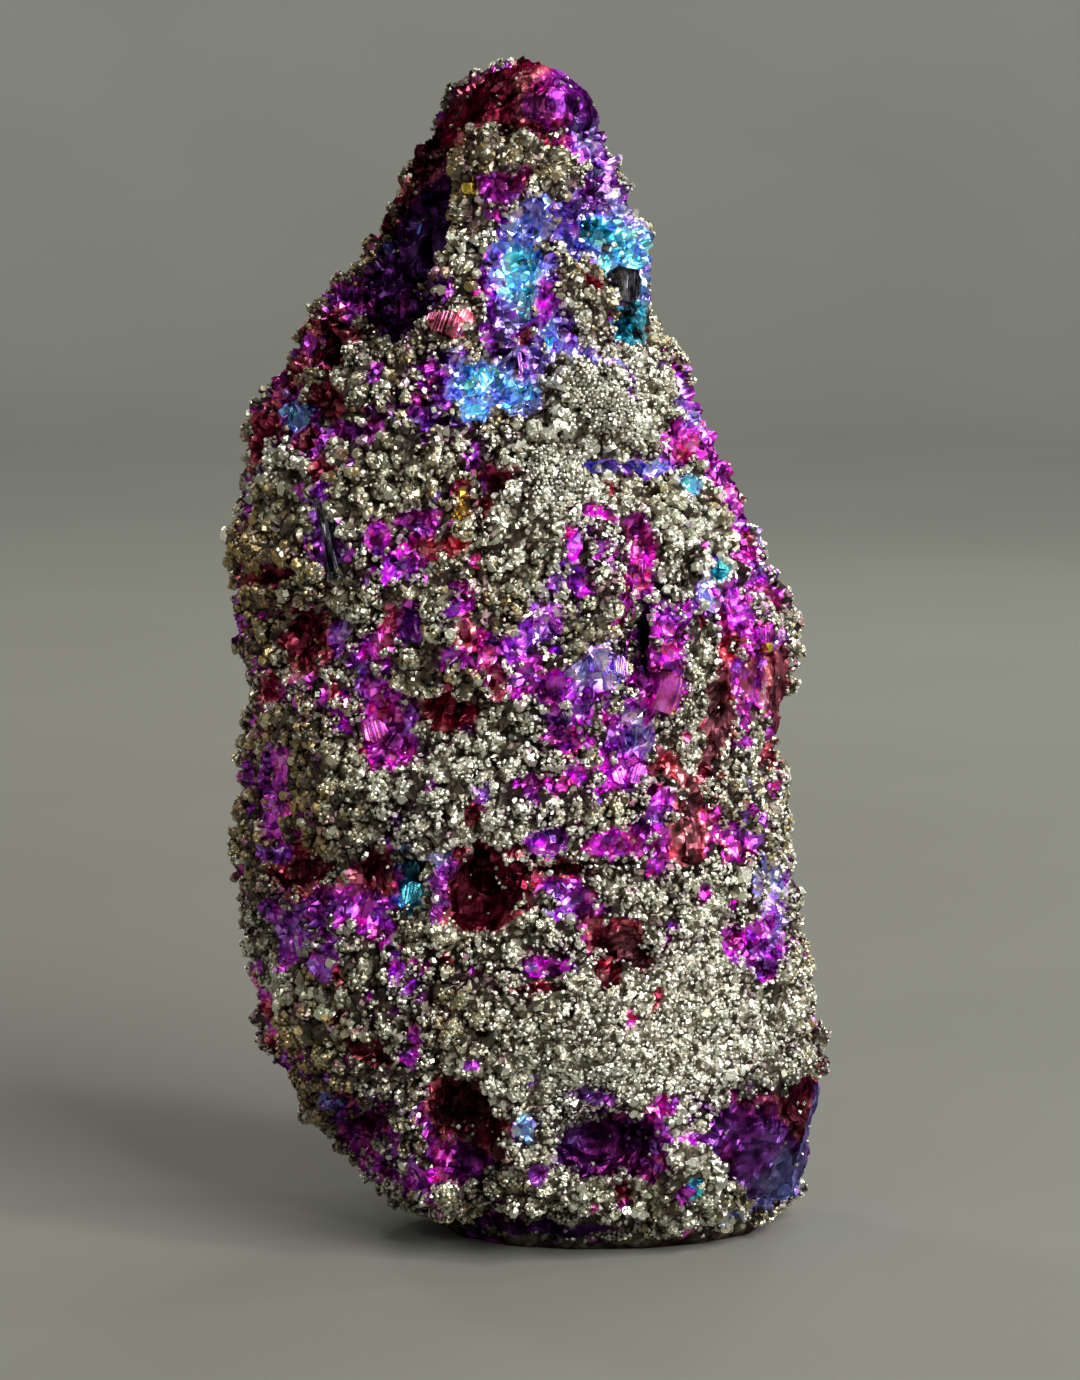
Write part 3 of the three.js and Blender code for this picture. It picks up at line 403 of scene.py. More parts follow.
# Larger tarnished crystals: form, side, place across and up, half width, half depth and half height in
# millimetres, lean, and film.
BLADES = (
    ("blade", "front", 4.6, 29.3, 0.3, 0.5, 1.1, 14, 0.44),
    ("blade", "front", 4.1, 28.9, 0.25, 0.4, 0.8, 10, 0.48),
    ("blade", "front", 4.85, 28.1, 0.3, 0.7, 1.2, 10, 0.47),
    ("blade", "front", 5.1, 31.9, 0.4, 0.5, 1.2, 0, 0.41),
    ("blade", "front", 5.6, 30.6, 0.35, 0.5, 0.9, 4, 0.44),
    ("blade", "front", 2.5, 29.6, 0.25, 0.4, 0.7, 0, 0.50),
    ("blade", "front", 2.0, 28.7, 0.3, 0.4, 0.7, 4, 0.55),
    ("blade", "front", 1.1, 28.6, 0.3, 0.4, 0.7, 8, 0.57),
    ("blade", "front", 0.5, 28.8, 0.25, 0.4, 0.8, -6, 0.62),
    ("blade", "front", 1.4, 27.6, 0.25, 0.4, 0.5, 18, 0.50),
    ("block", "front", 1.3, 25.7, 0.5, 0.4, 0.6, 0, 0.47),
    ("block", "front", 3.4, 27.0, 0.4, 0.4, 0.5, -20, 0.60),
    ("block", "front", 4.2, 26.6, 0.4, 0.4, 0.55, 15, 0.57),
    ("block", "front", 3.8, 25.9, 0.35, 0.4, 0.4, 0, 0.61),
    ("blade", "front", 5.7, 25.7, 0.45, 0.5, 1.0, -24, 0.60),
    ("block", "front", 6.4, 25.4, 0.6, 0.5, 0.8, 18, 0.42),
    ("blade", "front", 6.0, 24.6, 0.4, 0.5, 0.8, 34, 0.46),
    ("blade", "front", 5.1, 23.9, 0.45, 0.5, 1.2, 6, 0.62),
    ("blade", "front", 5.7, 23.2, 0.35, 0.5, 0.9, 12, 0.57),
    ("blade", "front", 4.6, 22.8, 0.3, 0.5, 0.9, -6, 0.52),
    ("block", "front", 5.2, 21.6, 0.5, 0.4, 0.5, 20, 0.45),
    ("block", "front", 4.4, 21.7, 0.4, 0.4, 0.4, -15, 0.44),
    ("blade", "front", 10.4, 25.9, 0.3, 0.5, 1.0, 0, 0.43),
    ("blade", "front", 9.6, 29.4, 0.4, 0.5, 0.9, -6, 0.45),
    ("blade", "front", 9.1, 29.9, 0.3, 0.4, 0.6, 0, 0.58),
    ("block", "front", 10.9, 28.1, 0.5, 0.4, 0.35, 10, 0.47),
    ("blade", "front", 11.3, 16.8, 0.3, 0.5, 1.0, -6, 0.63),
    ("blade", "front", -3.6, 16.8, 0.5, 1.1, 1.8, 12, 0.50),
    ("blade", "front", -3.2, 15.6, 0.18, 1.1, 1.0, 14, 0.11),
    ("block", "front", -5.1, 15.9, 0.6, 1.0, 0.6, 0, 0.81),
    ("block", "front", -5.3, 17.2, 0.4, 0.4, 0.5, 10, 0.90),
    ("blade", "front", -0.3, 41.2, 0.45, 0.6, 0.8, -8, 0.58),
    ("blade", "front", -5.0, 47.4, 0.35, 0.5, 1.3, 16, 0.69),
    ("blade", "front", -4.2, 46.4, 0.3, 0.5, 1.2, 10, 0.98),
    ("blade", "front", -5.4, 45.2, 0.3, 0.5, 1.1, 22, 0.52),
    ("blade", "front", -1.6, 35.3, 0.3, 0.9, 0.9, 14, 0.46),
    ("blade", "front", -6.5, 28.6, 0.3, 0.5, 0.7, 0, 0.41),
    ("blade", "front", -1.5, 26.0, 0.3, 0.5, 0.9, -15, 0.37),
    ("block", "front", -6.2, 24.6, 0.5, 0.4, 0.5, 20, 0.45),
    ("block", "front", -7.0, 23.7, 0.5, 0.4, 0.5, -15, 0.43),
    ("block", "front", -6.0, 23.2, 0.45, 0.4, 0.4, 30, 0.46),
    ("block", "front", -2.6, 48.9, 0.25, 0.3, 0.25, 0, 0.07),
    ("block", "front", 11.2, 27.6, 0.2, 0.4, 0.2, 0, 0.07),
    ("block", "front", -3.0, 34.2, 0.15, 0.2, 0.2, 0, 0.09),
    ("block", "front", -3.3, 33.8, 0.12, 0.2, 0.12, 20, 0.10),
    ("block", "front", -3.7, 42.6, 0.75, 0.55, 0.5, 10, 0.375),
    ("block", "front", -2.9, 42.8, 0.4, 0.4, 0.35, 30, 0.35),
    ("blade", "back", -1.2, 33.6, 0.35, 0.5, 1.3, 8, 0.46),
    ("blade", "back", -1.9, 32.4, 0.3, 0.5, 1.1, 4, 0.50),
    ("blade", "back", 2.3, 27.0, 0.4, 0.5, 1.2, 0, 0.60),
    ("blade", "back", 3.1, 26.2, 0.35, 0.5, 1.2, -6, 0.56),
    ("blade", "back", -10.6, 19.7, 0.4, 0.5, 1.0, 0, 0.50),
    ("block", "back", 6.6, 30.5, 0.7, 0.5, 0.5, 20, 0.44),
    ("block", "back", -5.0, 12.7, 0.5, 0.5, 0.8, -15, 0.45),
    ("blade", "right", -1.4, 24.7, 0.3, 0.5, 1.1, 0, 0.45),
    ("blade", "right", -1.5, 33.6, 0.35, 0.5, 1.2, 0, 0.44),
    ("blade", "left", 3.8, 34.5, 0.4, 0.5, 1.2, 0, 0.50),
    ("block", "left", -2.6, 22.1, 0.6, 0.5, 0.7, -10, 0.50),
)

# The two charcoal crystals, laid down in the same way.
CHARCOAL = (
    ("blade", "front", -9.1, 32.8, 1.0, 1.0, 1.9, -17, 0.99),
    ("block", "front", 4.4, 44.4, 0.6, 0.6, 0.75, 12, 0.99),
)

# Bright pyrite crystals on the crust, larger than its grains: form, side, place across and up,
# half width, half depth and half height, and lean.
NUGGETS = (
    ("block", "front", -9.0, 12.9, 0.28, 0.28, 0.28, 20),
    ("block", "front", -10.0, 11.5, 0.25, 0.25, 0.25, -15),
    ("block", "front", -11.0, 10.4, 0.25, 0.25, 0.28, 40),
    ("block", "front", -9.6, 10.5, 0.2, 0.2, 0.2, 10),
    ("block", "front", 9.5, 7.8, 0.3, 0.28, 0.25, 15),
    ("block", "front", 10.1, 16.9, 0.3, 0.3, 0.36, 4),
    ("block", "front", 10.6, 16.2, 0.28, 0.28, 0.3, 30),
    ("block", "front", 9.9, 16.1, 0.26, 0.26, 0.28, 12),
    ("block", "back", 5.8, 33.9, 0.4, 0.4, 0.5, 12),
    ("block", "back", 9.0, 13.0, 0.35, 0.35, 0.4, 10),
    ("block", "left", 1.4, 32.4, 0.35, 0.4, 0.4, 14),
)

# The one clear crystal, laid down as the pyrite ones are.
QUARTZ = (("quartz", "front", 2.0, 38.9, 0.6, 0.6, 1.15, 8),)

# Films that the small flecks between the windows take, the common ones more than once.
FLECK_FILMS = (0.20, 0.23, 0.23, 0.25, 0.41, 0.45, 0.46, 0.48, 0.50, 0.50, 0.52, 0.58, 0.66)

# The flecks: their half widths, half heights and depth in millimetres, and their most lean in
# degrees.
FLECK_WIDE, FLECK_HIGH, FLECK_DEPTH = (0.15, 0.45), (0.18, 0.65), 0.3
FLECK_LEAN = 35
FLECKS_FROM = 1.2  # the height in millimetres below which there are none
FLECKS_SPARED = 0.8  # the share that is left out where the crust is even
FLECK_SEED = 11

# How far round a place the ground counts towards the way that it faces there, in millimetres.
SEAT_REACH = 1.6
FLECK_REACH = 1.0

# Shares of facing a side, 1 square on and 0 edge on: ground under the first carries nothing that
# is laid out on that side, and what is laid is widened as if its ground had the second at least.
TURNED_AWAY = 0.05
LEAST_TURNED = 0.45
OVAL_THICKNESS = 2.6  # millimetres, half above and half below, in which an oval is felt in full

# The film where no window is near, and how strongly it holds there against the windows.
PLAIN_FILM = 0.48
PLAIN_PULL = 0.10

# The colours of the tarnish, each with its film's place on the tarnish scale.
FILM_STOPS = (
    ("gold", 0.07), ("maroon", 0.18), ("crimson", 0.24), ("coral", 0.35), ("pink", 0.40),
    ("magenta", 0.45), ("purple", 0.50), ("violet", 0.57), ("lilac", 0.61), ("indigo", 0.67),
    ("azure", 0.75), ("cyan", 0.82), ("teal", 0.89), ("slate", 0.95),
)

# Patches of the ground: the middle of each and its reach in millimetres. First where the pyrite
# is paler, and where it is browner: partly the grains' own colour, partly painted light towards
# the lit right of the front and painted shade towards its shaded left.
PALE_AND_LIT_PATCHES = (
    ((4, -8, 40), 5), ((1, -9, 35), 5), ((8, -7, 31), 5), ((6, -8, 11), 10), ((-2, -10, 21), 6),
    ((10, 3, 34), 6), ((2, 8, 40), 6), ((-4, 8, 20), 7), ((-12, 3, 12), 5),
)
BROWN_AND_SHADED_PATCHES = (
    ((-8, -3, 46), 6), ((-5, -4, 50), 5), ((-11, -3, 41), 5), ((-12, -4, 31), 6.5),
    ((-12, -5, 21), 7), ((-10, -4, 8), 5), ((8, 7, 24), 7), ((-8, 6, 36), 6), ((4, 8, 8), 6),
)

# Where the bare ore stands in upright ribs.
RIB_PATCHES = (
    ((4.5, -9, 30), 5), ((10.5, -5, 25.4), 5.5), ((7.8, -8, 20.7), 3.6), ((0.8, -7, 43.6), 3.4),
    ((-4.6, -6, 47), 4.4), ((12, 0, 25), 5), ((9, 6, 22), 5), ((-1, 8, 33), 5),
)

# Where the crust is an even layer of beads rather than lumps.
EVEN_PATCHES = (((5, -6, 10), 9), ((-2, -7, 20), 4), ((1, 8, 10), 6))

# Where the crust is finest of all, sown with dust alone.
FINEST_PATCHES = (((4.1, -8, 40.2), 3.6), ((1.4, -9, 36.3), 2.6), ((-0.9, -9, 18.1), 1.2))

# Where the crust grows coarse.
COARSE_PATCHES = (
    ((-10, -4, 33), 7), ((-11, -4, 22), 6), ((-9, -6, 13), 5), ((-7, -6, 37), 5),
    ((8, -5, 33), 4), ((8, 6, 34), 6), ((-6, 8, 12), 6), ((-9, 6, 30), 6), ((3, 9, 22), 5),
    ((-4, -4, 46), 4), ((2, -8, 38), 4), ((6, -6, 4), 5),
)

# The bands that the fine crust is sown in, from bottom to top, in millimetres.
CRUST_BANDS = (("lower_crust", 0, 15), ("middle_crust", 15, 30), ("upper_crust", 30, 60))

# The smooth random patterns on the stone: how long the waves of each are in millimetres, and a
# number that sets it apart from the others.
WAVES = {
    "fray": (1.5, 3.1), "fine fray": (0.55, 7.7), "film": (2.2, 6.4), "cover": (3.0, 2.3),
    "short cover": (1.2, 4.9), "fine cover": (0.5, 8.1), "bend": (0.7, 6.6),
    "facet": (0.31, 5.3), "small facet": (0.17, 2.9), "rib": (0.23, 4.1), "crumb": (0.1, 1.3),
    "coarse": (0.9, 9.2), "sown": (1.0, 5.7),
}

# Where the noise for smooth random shifts starts; left alone it starts at the time of day.
NOISE_SEED = 8

# How far out in an oval, with 1 at its rim, its hold begins to fade and where it is gone: for
# the opening of a window, for its sunken floor, and for the ovals of the tables above.
OPENING_FADES = (0.8, 1.12)
FLOOR_FADES = (0.35, 1.1)
THINNING_FADES = (0.6, 1.25)
SMOOTH_FADES = (0.8, 1.1)
PAINTED_SHADE_FADES = (0.7, 1.25)

# The flat faces in the windows: how squat the stone is taken to be where they are worked out,
# which draws them out upwards, their width as a share of a facet's, the pattern of their tilts,
# and how many times a facet's tilt they take.
FACETS = (0.5, 1, "facet", 2)
SMALL_FACETS = (1, 0.45, "small facet", 2)
RIBS = (0.2, 0.75, "rib", 3)
COBBLE_SQUEEZE = 0.62  # the first of these for the cobbles

# Rounded lumps: how far from a crease, as a share of their width, they are at their full
# height, and the share of that height that lies below the ground.
CLUMP_FORM = (0.45, 0.7)
LUMP_FORM = (0.5, 0.6)
COBBLE_FORM = (0.45, 0.6)

# How far the rims of clumps and lumps are bent, how far bare ore lies below the crust, and how
# rough all of it is, in millimetres.
BEND = 0.25
ORE_DROP = 0.15
CRUMB = 0.035

# Heights in millimetres: from the first to the second the relief grows in over the foot, the
# grains begin, and the cobbles come to their full height near the crown.
RELIEF_GROWS = (0.15, 1.6)
GRAINS_BEGIN = (0.45, 0.7)
COBBLES_GROW = (34, 39)

# Depths of a window in millimetres where painted shade begins to darken its floor, and where it
# is at its darkest.
PAINTED_SHADE_DEPTHS = (0.65, 1.15)

# How the pyrite is sown: the piece, its forms, where it grows, the grain size it takes, the room
# between grains, how far they sink and rise, all as shares of that size, and its seed.
SOWN = (
    ("pyrite_coarse", "coarse_forms", "coarse_crust", "coarse", 0.62, 0.38, -0.05, 1),
    ("pyrite_lower", "fine_forms", "lower_crust", "bead", 0.66, 0.38, -0.04, 2),
    ("pyrite_middle", "fine_forms", "middle_crust", "fine", 0.64, 0.4, -0.05, 3),
    ("pyrite_upper", "fine_forms", "upper_crust", "fine", 0.64, 0.4, -0.05, 4),
    ("pyrite_dust", "fine_forms", "dusting", "dust", 0.8, -0.1, 0.3, 5),
)

# The same for the small tarnished crystals, from where they grow.
CRYSTALS_SOWN = ("bare", "crystal", 0.8, 0.48, -0.2, 6)

# The smallest and the largest grain as shares of the usual size, and how many are tried for each
# square of ground as wide as the room between them.
GRAIN_RANGE = (0.72, 1.3)
GRAIN_TRIES = 2.6

# How far in the ground the middles of planted crystals lie, as shares of their half depths;
# below 0 they lie over it.
BLADE_SINK = 0.35
CHARCOAL_SINK = -0.2
NUGGET_SINK = 0.0
QUARTZ_SINK = -0.5

# How wide the streaks along a planted crystal are, in millimetres.
FIBRE_WIDTH = 0.13

# The colour that tarnish takes where it is seen edge on.
EDGE_TINT = (0.42, 0.22, 0.40)

# How rough each finish is, from its smoothest to its roughest.
ORE_ROUGHNESS = (0.22, 0.46)
CRYSTAL_ROUGHNESS = (0.22, 0.48)
BLADE_ROUGHNESS = (0.16, 0.38)
PYRITE_ROUGHNESS = (0.24, 0.46)
QUARTZ_ROUGHNESS = (0.03, 0.16)

# How far the film shifts from facet to facet and crystal to crystal, and how much darker or
# lighter they are painted: painted highlight and shade that stand in for how each catches the light.
ORE_SHIFTS = (-0.05, 0.06)
CRYSTAL_SHIFTS = (-0.045, 0.06)
BLADE_SHIFTS = (-0.05, 0.05)
PAINTED_FACET_LIGHTS = (0.35, 1.8)
PAINTED_BLADE_LIGHTS = (0.5, 1.4)

# The ground under the grains, where the crust is thin and where it has closed: clouded ramps,
# dark partly as the ore's own colour and partly as painted shade between the grains.
THIN_GROUND = (
    (0.35, (0.03, 0.023, 0.018)), (0.5, (0.065, 0.056, 0.045)), (0.66, (0.085, 0.04, 0.055)))
CLOSED_GROUND = ((0.35, (0.11, 0.096, 0.064)), (0.65, (0.39, 0.36, 0.265)))


class OreSizes(bpy.types.PropertyGroup):
    """Sizes of the stone's own surface."""

    voxel: bpy.props.FloatProperty(
        name="Voxel", description="Fineness of the ore's surface mesh",
        default=0.25 * MM, unit="LENGTH")
    clump: bpy.props.FloatProperty(
        name="Clump", description="Width of a rounded clump of crust",
        default=1.15 * MM, unit="LENGTH")
    clump_height: bpy.props.FloatProperty(
        name="Clump Height", description="Height of a clump over the creases beside it",
        default=0.52 * MM, unit="LENGTH")
    facet: bpy.props.FloatProperty(
        name="Facet", description="Width of the flat facets in a window",
        default=0.8 * MM, unit="LENGTH")
    facet_tilt: bpy.props.FloatProperty(
        name="Facet Tilt", description="How steeply the facets lie, as rise over run",
        default=0.46)
    ragged: bpy.props.FloatProperty(
        name="Ragged Edge", description="How far a window's edge strays from an oval",
        default=0.85 * MM, unit="LENGTH")
    lump: bpy.props.FloatProperty(
        name="Lump", description="Width of the small lumps on a clump of crust",
        default=0.62 * MM, unit="LENGTH")
    lump_height: bpy.props.FloatProperty(
        name="Lump Height", description="Height of a small lump over the creases beside it",
        default=0.2 * MM, unit="LENGTH")
    cobble: bpy.props.FloatProperty(
        name="Cobble", description="Width of the upright lumps of bare ore in a window",
        default=0.66 * MM, unit="LENGTH")
    cobble_height: bpy.props.FloatProperty(
        name="Cobble Height", description="Height of a lump of bare ore over its creases",
        default=0.34 * MM, unit="LENGTH")
    cover: bpy.props.FloatProperty(
        name="Crust Cover", description="How readily the crust closes; 0 leaves half open",
        default=0.42)
    swell: bpy.props.FloatProperty(
        name="Swell", description="How far the surface stands out over the plain solid",
        default=0.35 * MM, unit="LENGTH")
    thin_depth: bpy.props.FloatProperty(
        name="Rag Depth", description="Drop from the crust to the ore where it runs thin",
        default=0.45 * MM, unit="LENGTH")
    flecks: bpy.props.IntProperty(
        name="Flecks", description="Small openings in the crust between the windows",
        default=260)


class GrainSizes(bpy.types.PropertyGroup):
    """Sizes of the grains and crystals that grow on the stone."""

    bead: bpy.props.FloatProperty(
        name="Bead", description="Width of a pyrite bead in the even crust low down",
        default=0.25 * MM, unit="LENGTH")
    fine: bpy.props.FloatProperty(
        name="Fine Grain", description="Width of a fine pyrite grain",
        default=0.262 * MM, unit="LENGTH")
    coarse: bpy.props.FloatProperty(
        name="Coarse Grain", description="Width of a coarse pyrite grain",
        default=0.44 * MM, unit="LENGTH")
    dust: bpy.props.FloatProperty(
        name="Dust", description="Width of the smallest grains, on top of the others",
        default=0.19 * MM, unit="LENGTH")
    crystal: bpy.props.FloatProperty(
        name="Tarnished Crystal", description="Width of a tarnished crystal in a window",
        default=0.42 * MM, unit="LENGTH")


class OreColours(bpy.types.PropertyGroup):
    """Colours of the tarnish, from the thinnest film to the thickest, and of the minerals."""

    gold: bpy.props.FloatVectorProperty(
        name="Gold", description="Film at 0.07", subtype="COLOR", default=(0.60, 0.42, 0.06))
    maroon: bpy.props.FloatVectorProperty(
        name="Maroon", description="Film at 0.18", subtype="COLOR", default=(0.25, 0.085, 0.105))
    crimson: bpy.props.FloatVectorProperty(
        name="Crimson", description="Film at 0.24", subtype="COLOR", default=(0.17, 0.008, 0.03))
    coral: bpy.props.FloatVectorProperty(
        name="Coral", description="Film at 0.35", subtype="COLOR", default=(0.92, 0.25, 0.28))
    pink: bpy.props.FloatVectorProperty(
        name="Pink", description="Film at 0.40", subtype="COLOR", default=(0.88, 0.15, 0.38))
    magenta: bpy.props.FloatVectorProperty(
        name="Magenta", description="Film at 0.45", subtype="COLOR", default=(0.70, 0.07, 0.60))
    purple: bpy.props.FloatVectorProperty(
        name="Purple", description="Film at 0.50", subtype="COLOR", default=(0.40, 0.055, 0.58))
    violet: bpy.props.FloatVectorProperty(
        name="Violet", description="Film at 0.57", subtype="COLOR", default=(0.54, 0.24, 0.98))
    lilac: bpy.props.FloatVectorProperty(
        name="Lilac", description="Film at 0.61", subtype="COLOR", default=(0.54, 0.46, 1.0))
    indigo: bpy.props.FloatVectorProperty(
        name="Indigo", description="Film at 0.67", subtype="COLOR", default=(0.26, 0.30, 0.92))
    azure: bpy.props.FloatVectorProperty(
        name="Azure", description="Film at 0.75", subtype="COLOR", default=(0.24, 0.66, 1.0))
    cyan: bpy.props.FloatVectorProperty(
        name="Cyan", description="Film at 0.82", subtype="COLOR", default=(0.09, 0.68, 0.92))
    teal: bpy.props.FloatVectorProperty(
        name="Teal", description="Film at 0.89", subtype="COLOR", default=(0.02, 0.25, 0.34))
    slate: bpy.props.FloatVectorProperty(
        name="Slate", description="Film at 0.95", subtype="COLOR", default=(0.12, 0.125, 0.14))
    pyrite_pale: bpy.props.FloatVectorProperty(
        name="Pale Pyrite", description="The brightest grains",
        subtype="COLOR", default=(0.84, 0.84, 0.745))
    pyrite_brass: bpy.props.FloatVectorProperty(
        name="Brassy Pyrite", description="Grains of the usual colour",
        subtype="COLOR", default=(0.66, 0.675, 0.545))
    pyrite_brown: bpy.props.FloatVectorProperty(
        name="Brown Pyrite", description="Grains that have dulled",
        subtype="COLOR", default=(0.44, 0.33, 0.16))
    quartz: bpy.props.FloatVectorProperty(
        name="Quartz", description="The clear crystal",
        subtype="COLOR", default=(0.93, 0.93, 0.90))


# Helpers for objects and their meshes.

def deselect():
    """Leaves nothing selected, so that an operator acts only on what is made next."""
    bpy.ops.object.select_all(action="DESELECT")


def choose(piece):
    """Makes one object the selected and active one."""
    deselect()
    piece.select_set(True)
    bpy.context.view_layer.objects.active = piece


@contextmanager
def edit_mode():
    """Edit mode for the lines under it, and object mode again after them."""
    bpy.ops.object.mode_set(mode="EDIT")
    yield
    bpy.ops.object.mode_set(mode="OBJECT")


def apply_modifier(piece, modifier):
    """Makes what a modifier does the piece's own mesh."""
    choose(piece)
    bpy.ops.object.modifier_apply(modifier=modifier.name)


def points_of(mesh):
    """The places of a mesh's points, one row for each."""
    points = np.empty(len(mesh.vertices) * 3)
    mesh.vertices.foreach_get("co", points)
    return points.reshape(-1, 3)


def normals_of(mesh):
    """The ways that a mesh faces at its points, one row for each."""
    normals = np.empty(len(mesh.vertices) * 3)
    mesh.vertex_normals.foreach_get("vector", normals)
    return normals.reshape(-1, 3)


def corners_of(mesh):
    """The number of the point at each corner of each face."""
    corners = np.empty(len(mesh.loops), dtype=np.int32)
    mesh.loops.foreach_get("vertex_index", corners)
    return corners


def own_map(mesh):
    """An empty map for the piece, in place of what its forms and its ground brought along."""
    for layer in list(mesh.uv_layers):
        mesh.uv_layers.remove(layer)
    if MAP in mesh.attributes:
        mesh.attributes.remove(mesh.attributes[MAP])
    return mesh.uv_layers.new(name=MAP, do_init=False)


def store(mesh, name, values):
    """Keeps one number for each vertex under a name that materials and scatters can read."""
    attribute = mesh.attributes.new(name, "FLOAT", "POINT")
    attribute.data.foreach_set("value", np.asarray(values, dtype=np.float32))


# Smooth steps and random patterns.

def scaled(lengths):
    """Lengths given in millimetres, in metres."""
    return [length * MM for length in lengths]


def smoothstep(values, low, high):
    """0 up to the low value, rising smoothly to 1 at the high one."""
    share = np.clip((values - low) / (high - low), 0, 1)
    return share * share * (3 - 2 * share)


def fade(values, low, high):
    """1 up to the low value, falling smoothly to 0 at the high one."""
    return 1 - smoothstep(values, low, high)


def wave_places(points, wave):
    """The places of points in a random pattern, where its waves are one unit long."""
    length, seed = WAVES[wave]
    offset = Vector((seed, 2 * seed, 3 * seed))
    return [Vector(point) / (length * MM) + offset for point in points]


def swing(points, wave):
    """A smooth random number for each point, about -0.5 to 0.5."""
    return np.array([noise.noise(place) for place in wave_places(points, wave)])


def stray(points, wave):
    """A smooth random shift for each point."""
    noise.seed_set(NOISE_SEED)
    return np.array([noise.noise_vector(place) for place in wave_places(points, wave)])


def cells(points, length):
    """The random cell that each point lies in: its middle, and how far its rim is (0 on it)."""
    middles, rims = np.empty((len(points), 3)), np.empty(len(points))
    for index, point in enumerate(points):
        distances, seats = noise.voronoi(Vector(point) / length)
        middles[index] = seats[0]
        rims[index] = distances[1] - distances[0]
    return middles * length, rims


def felt_patches(points, patches):
    """1 in the middle of any patch, falling to 0 at its reach."""
    felt = np.zeros(len(points))
    for middle, reach in patches:
        away = np.linalg.norm(points - np.array(middle) * MM, axis=1)
        felt = np.maximum(felt, fade(away, 0.3 * reach * MM, reach * MM))
    return felt


# The layout of the ground and what is laid on it.

def laid_out(points, side):
    """How far across and up each point lies in the layout of a side."""
    if side != "front":
        return points[:, SIDES[side].axis], points[:, 2]
    away = points - np.array(AIM) * MM
    rise = math.radians(CAMERA_RISE)
    beyond = away[:, 1] * math.cos(rise) - away[:, 2] * math.sin(rise)
    grow = 1 / (1 + beyond / (CAMERA_DISTANCE * MM))
    up = away[:, 1] * math.sin(rise) + away[:, 2] * math.cos(rise)
    return AIM_LAID[0] * MM + away[:, 0] * grow, AIM_LAID[1] * MM + up * grow


class Ground:
    """The skin's points and the ways they face, and a tree that finds those near a place."""

    def __init__(self, mesh):
        self.points, self.normals = points_of(mesh), normals_of(mesh)
        self.tree = kdtree.KDTree(len(self.points))
        for index, point in enumerate(self.points):
            self.tree.insert(point, index)
        self.tree.balance()

    def facing(self, centre, reach):
        """The way that the ground within reach of a place faces on the whole."""
        near = [index for _, index, _ in self.tree.find_range(centre, reach)]
        return Vector(self.normals[near].mean(axis=0)).normalized()

    def seat(self, side, across, up):
        """Where a place in a side's layout lies on the stone, and how the ground faces there."""
        laid_across, laid_up = laid_out(self.points, side)
        gap = np.hypot(laid_across - across, laid_up - up)
        gap[self.normals @ np.array(SIDES[side].facing) < TURNED_AWAY] = np.inf
        centre = Vector(self.points[int(np.argmin(gap))])
        return centre, self.facing(centre, SEAT_REACH * MM)

    def laid(self, table):
        """A table's entries: what an oval takes to lie on its seat, and what follows the lean."""
        for side, entries in table.items():
            for across, up, wide, high, lean, *rest in entries:
                centre, out = self.seat(side, across * MM, up * MM)
                turned = max(LEAST_TURNED, out.dot(SIDES[side].facing))
                lean = SIDES[side].sign * lean
                yield (centre, out, wide * MM / turned, high * MM, lean), rest

    def felt_ovals(self, table, inner, outer):
        """In the middle of any oval its strength, or 1 where it has none, and 0 outside all."""
        felt = np.zeros(len(self.points))
        for place, strength in self.laid(table):
            full = strength[0] if strength else 1
            spread = Oval(*place).spread(self.points)
            felt = np.maximum(felt, full * fade(spread, inner, outer))
        return felt


class Oval:
    """An oval laid on the ground round its middle."""

    def __init__(self, centre, out, wide, high, lean):
        self.centre, self.out = centre, out
        level = Vector((0, 0, 1)).cross(out)
        level = level.normalized() if level.length > 0.1 else Vector((1, 0, 0))
        turn = Matrix.Rotation(-math.radians(lean), 3, out)
        self.across, self.up = turn @ level, turn @ out.cross(level)
        self.wide, self.high = wide, high

    def spread(self, points):
        """How far out from the middle each point lies, where 1 is the rim."""
        away = points - np.array(self.centre)
        wide = away @ np.array(self.across) / self.wide
        high = away @ np.array(self.up) / self.high
        under = away @ np.array(self.out) / (OVAL_THICKNESS * MM)
        return np.sqrt(wide ** 2 + high ** 2 + np.clip(np.abs(under) - 0.5, 0, None) ** 2)


class Window(Oval):
    """An oval opening in the crust, with its depth and its film."""

    def __init__(self, place, depth, film):
        super().__init__(*place)
        self.depth, self.film = depth, film


def lay_windows(ground):
    """The windows of the tables."""
    return [Window(place, depth * MM, film) for place, (depth, film) in ground.laid(WINDOWS)]


def lay_flecks(ground, count):
    """Small openings at random, none at the foot and few where the crust is even."""
    draw = random.Random(FLECK_SEED)
    flecks = []
    while len(flecks) < count:
        centre = Vector(ground.points[draw.randrange(len(ground.points))])
        wide, high = draw.uniform(*FLECK_WIDE), draw.uniform(*FLECK_HIGH)
        lean, film = draw.uniform(-FLECK_LEAN, FLECK_LEAN), draw.choice(FLECK_FILMS)
        even = felt_patches(np.array([centre]), EVEN_PATCHES)[0]
        if centre.z < FLECKS_FROM * MM or draw.random() < FLECKS_SPARED * even:
            continue
        out = ground.facing(centre, FLECK_REACH * MM)
        place = centre, out, wide * MM, high * MM, lean
        flecks.append(Window(place, FLECK_DEPTH * MM, film))
    return flecks


# The ore's surface.

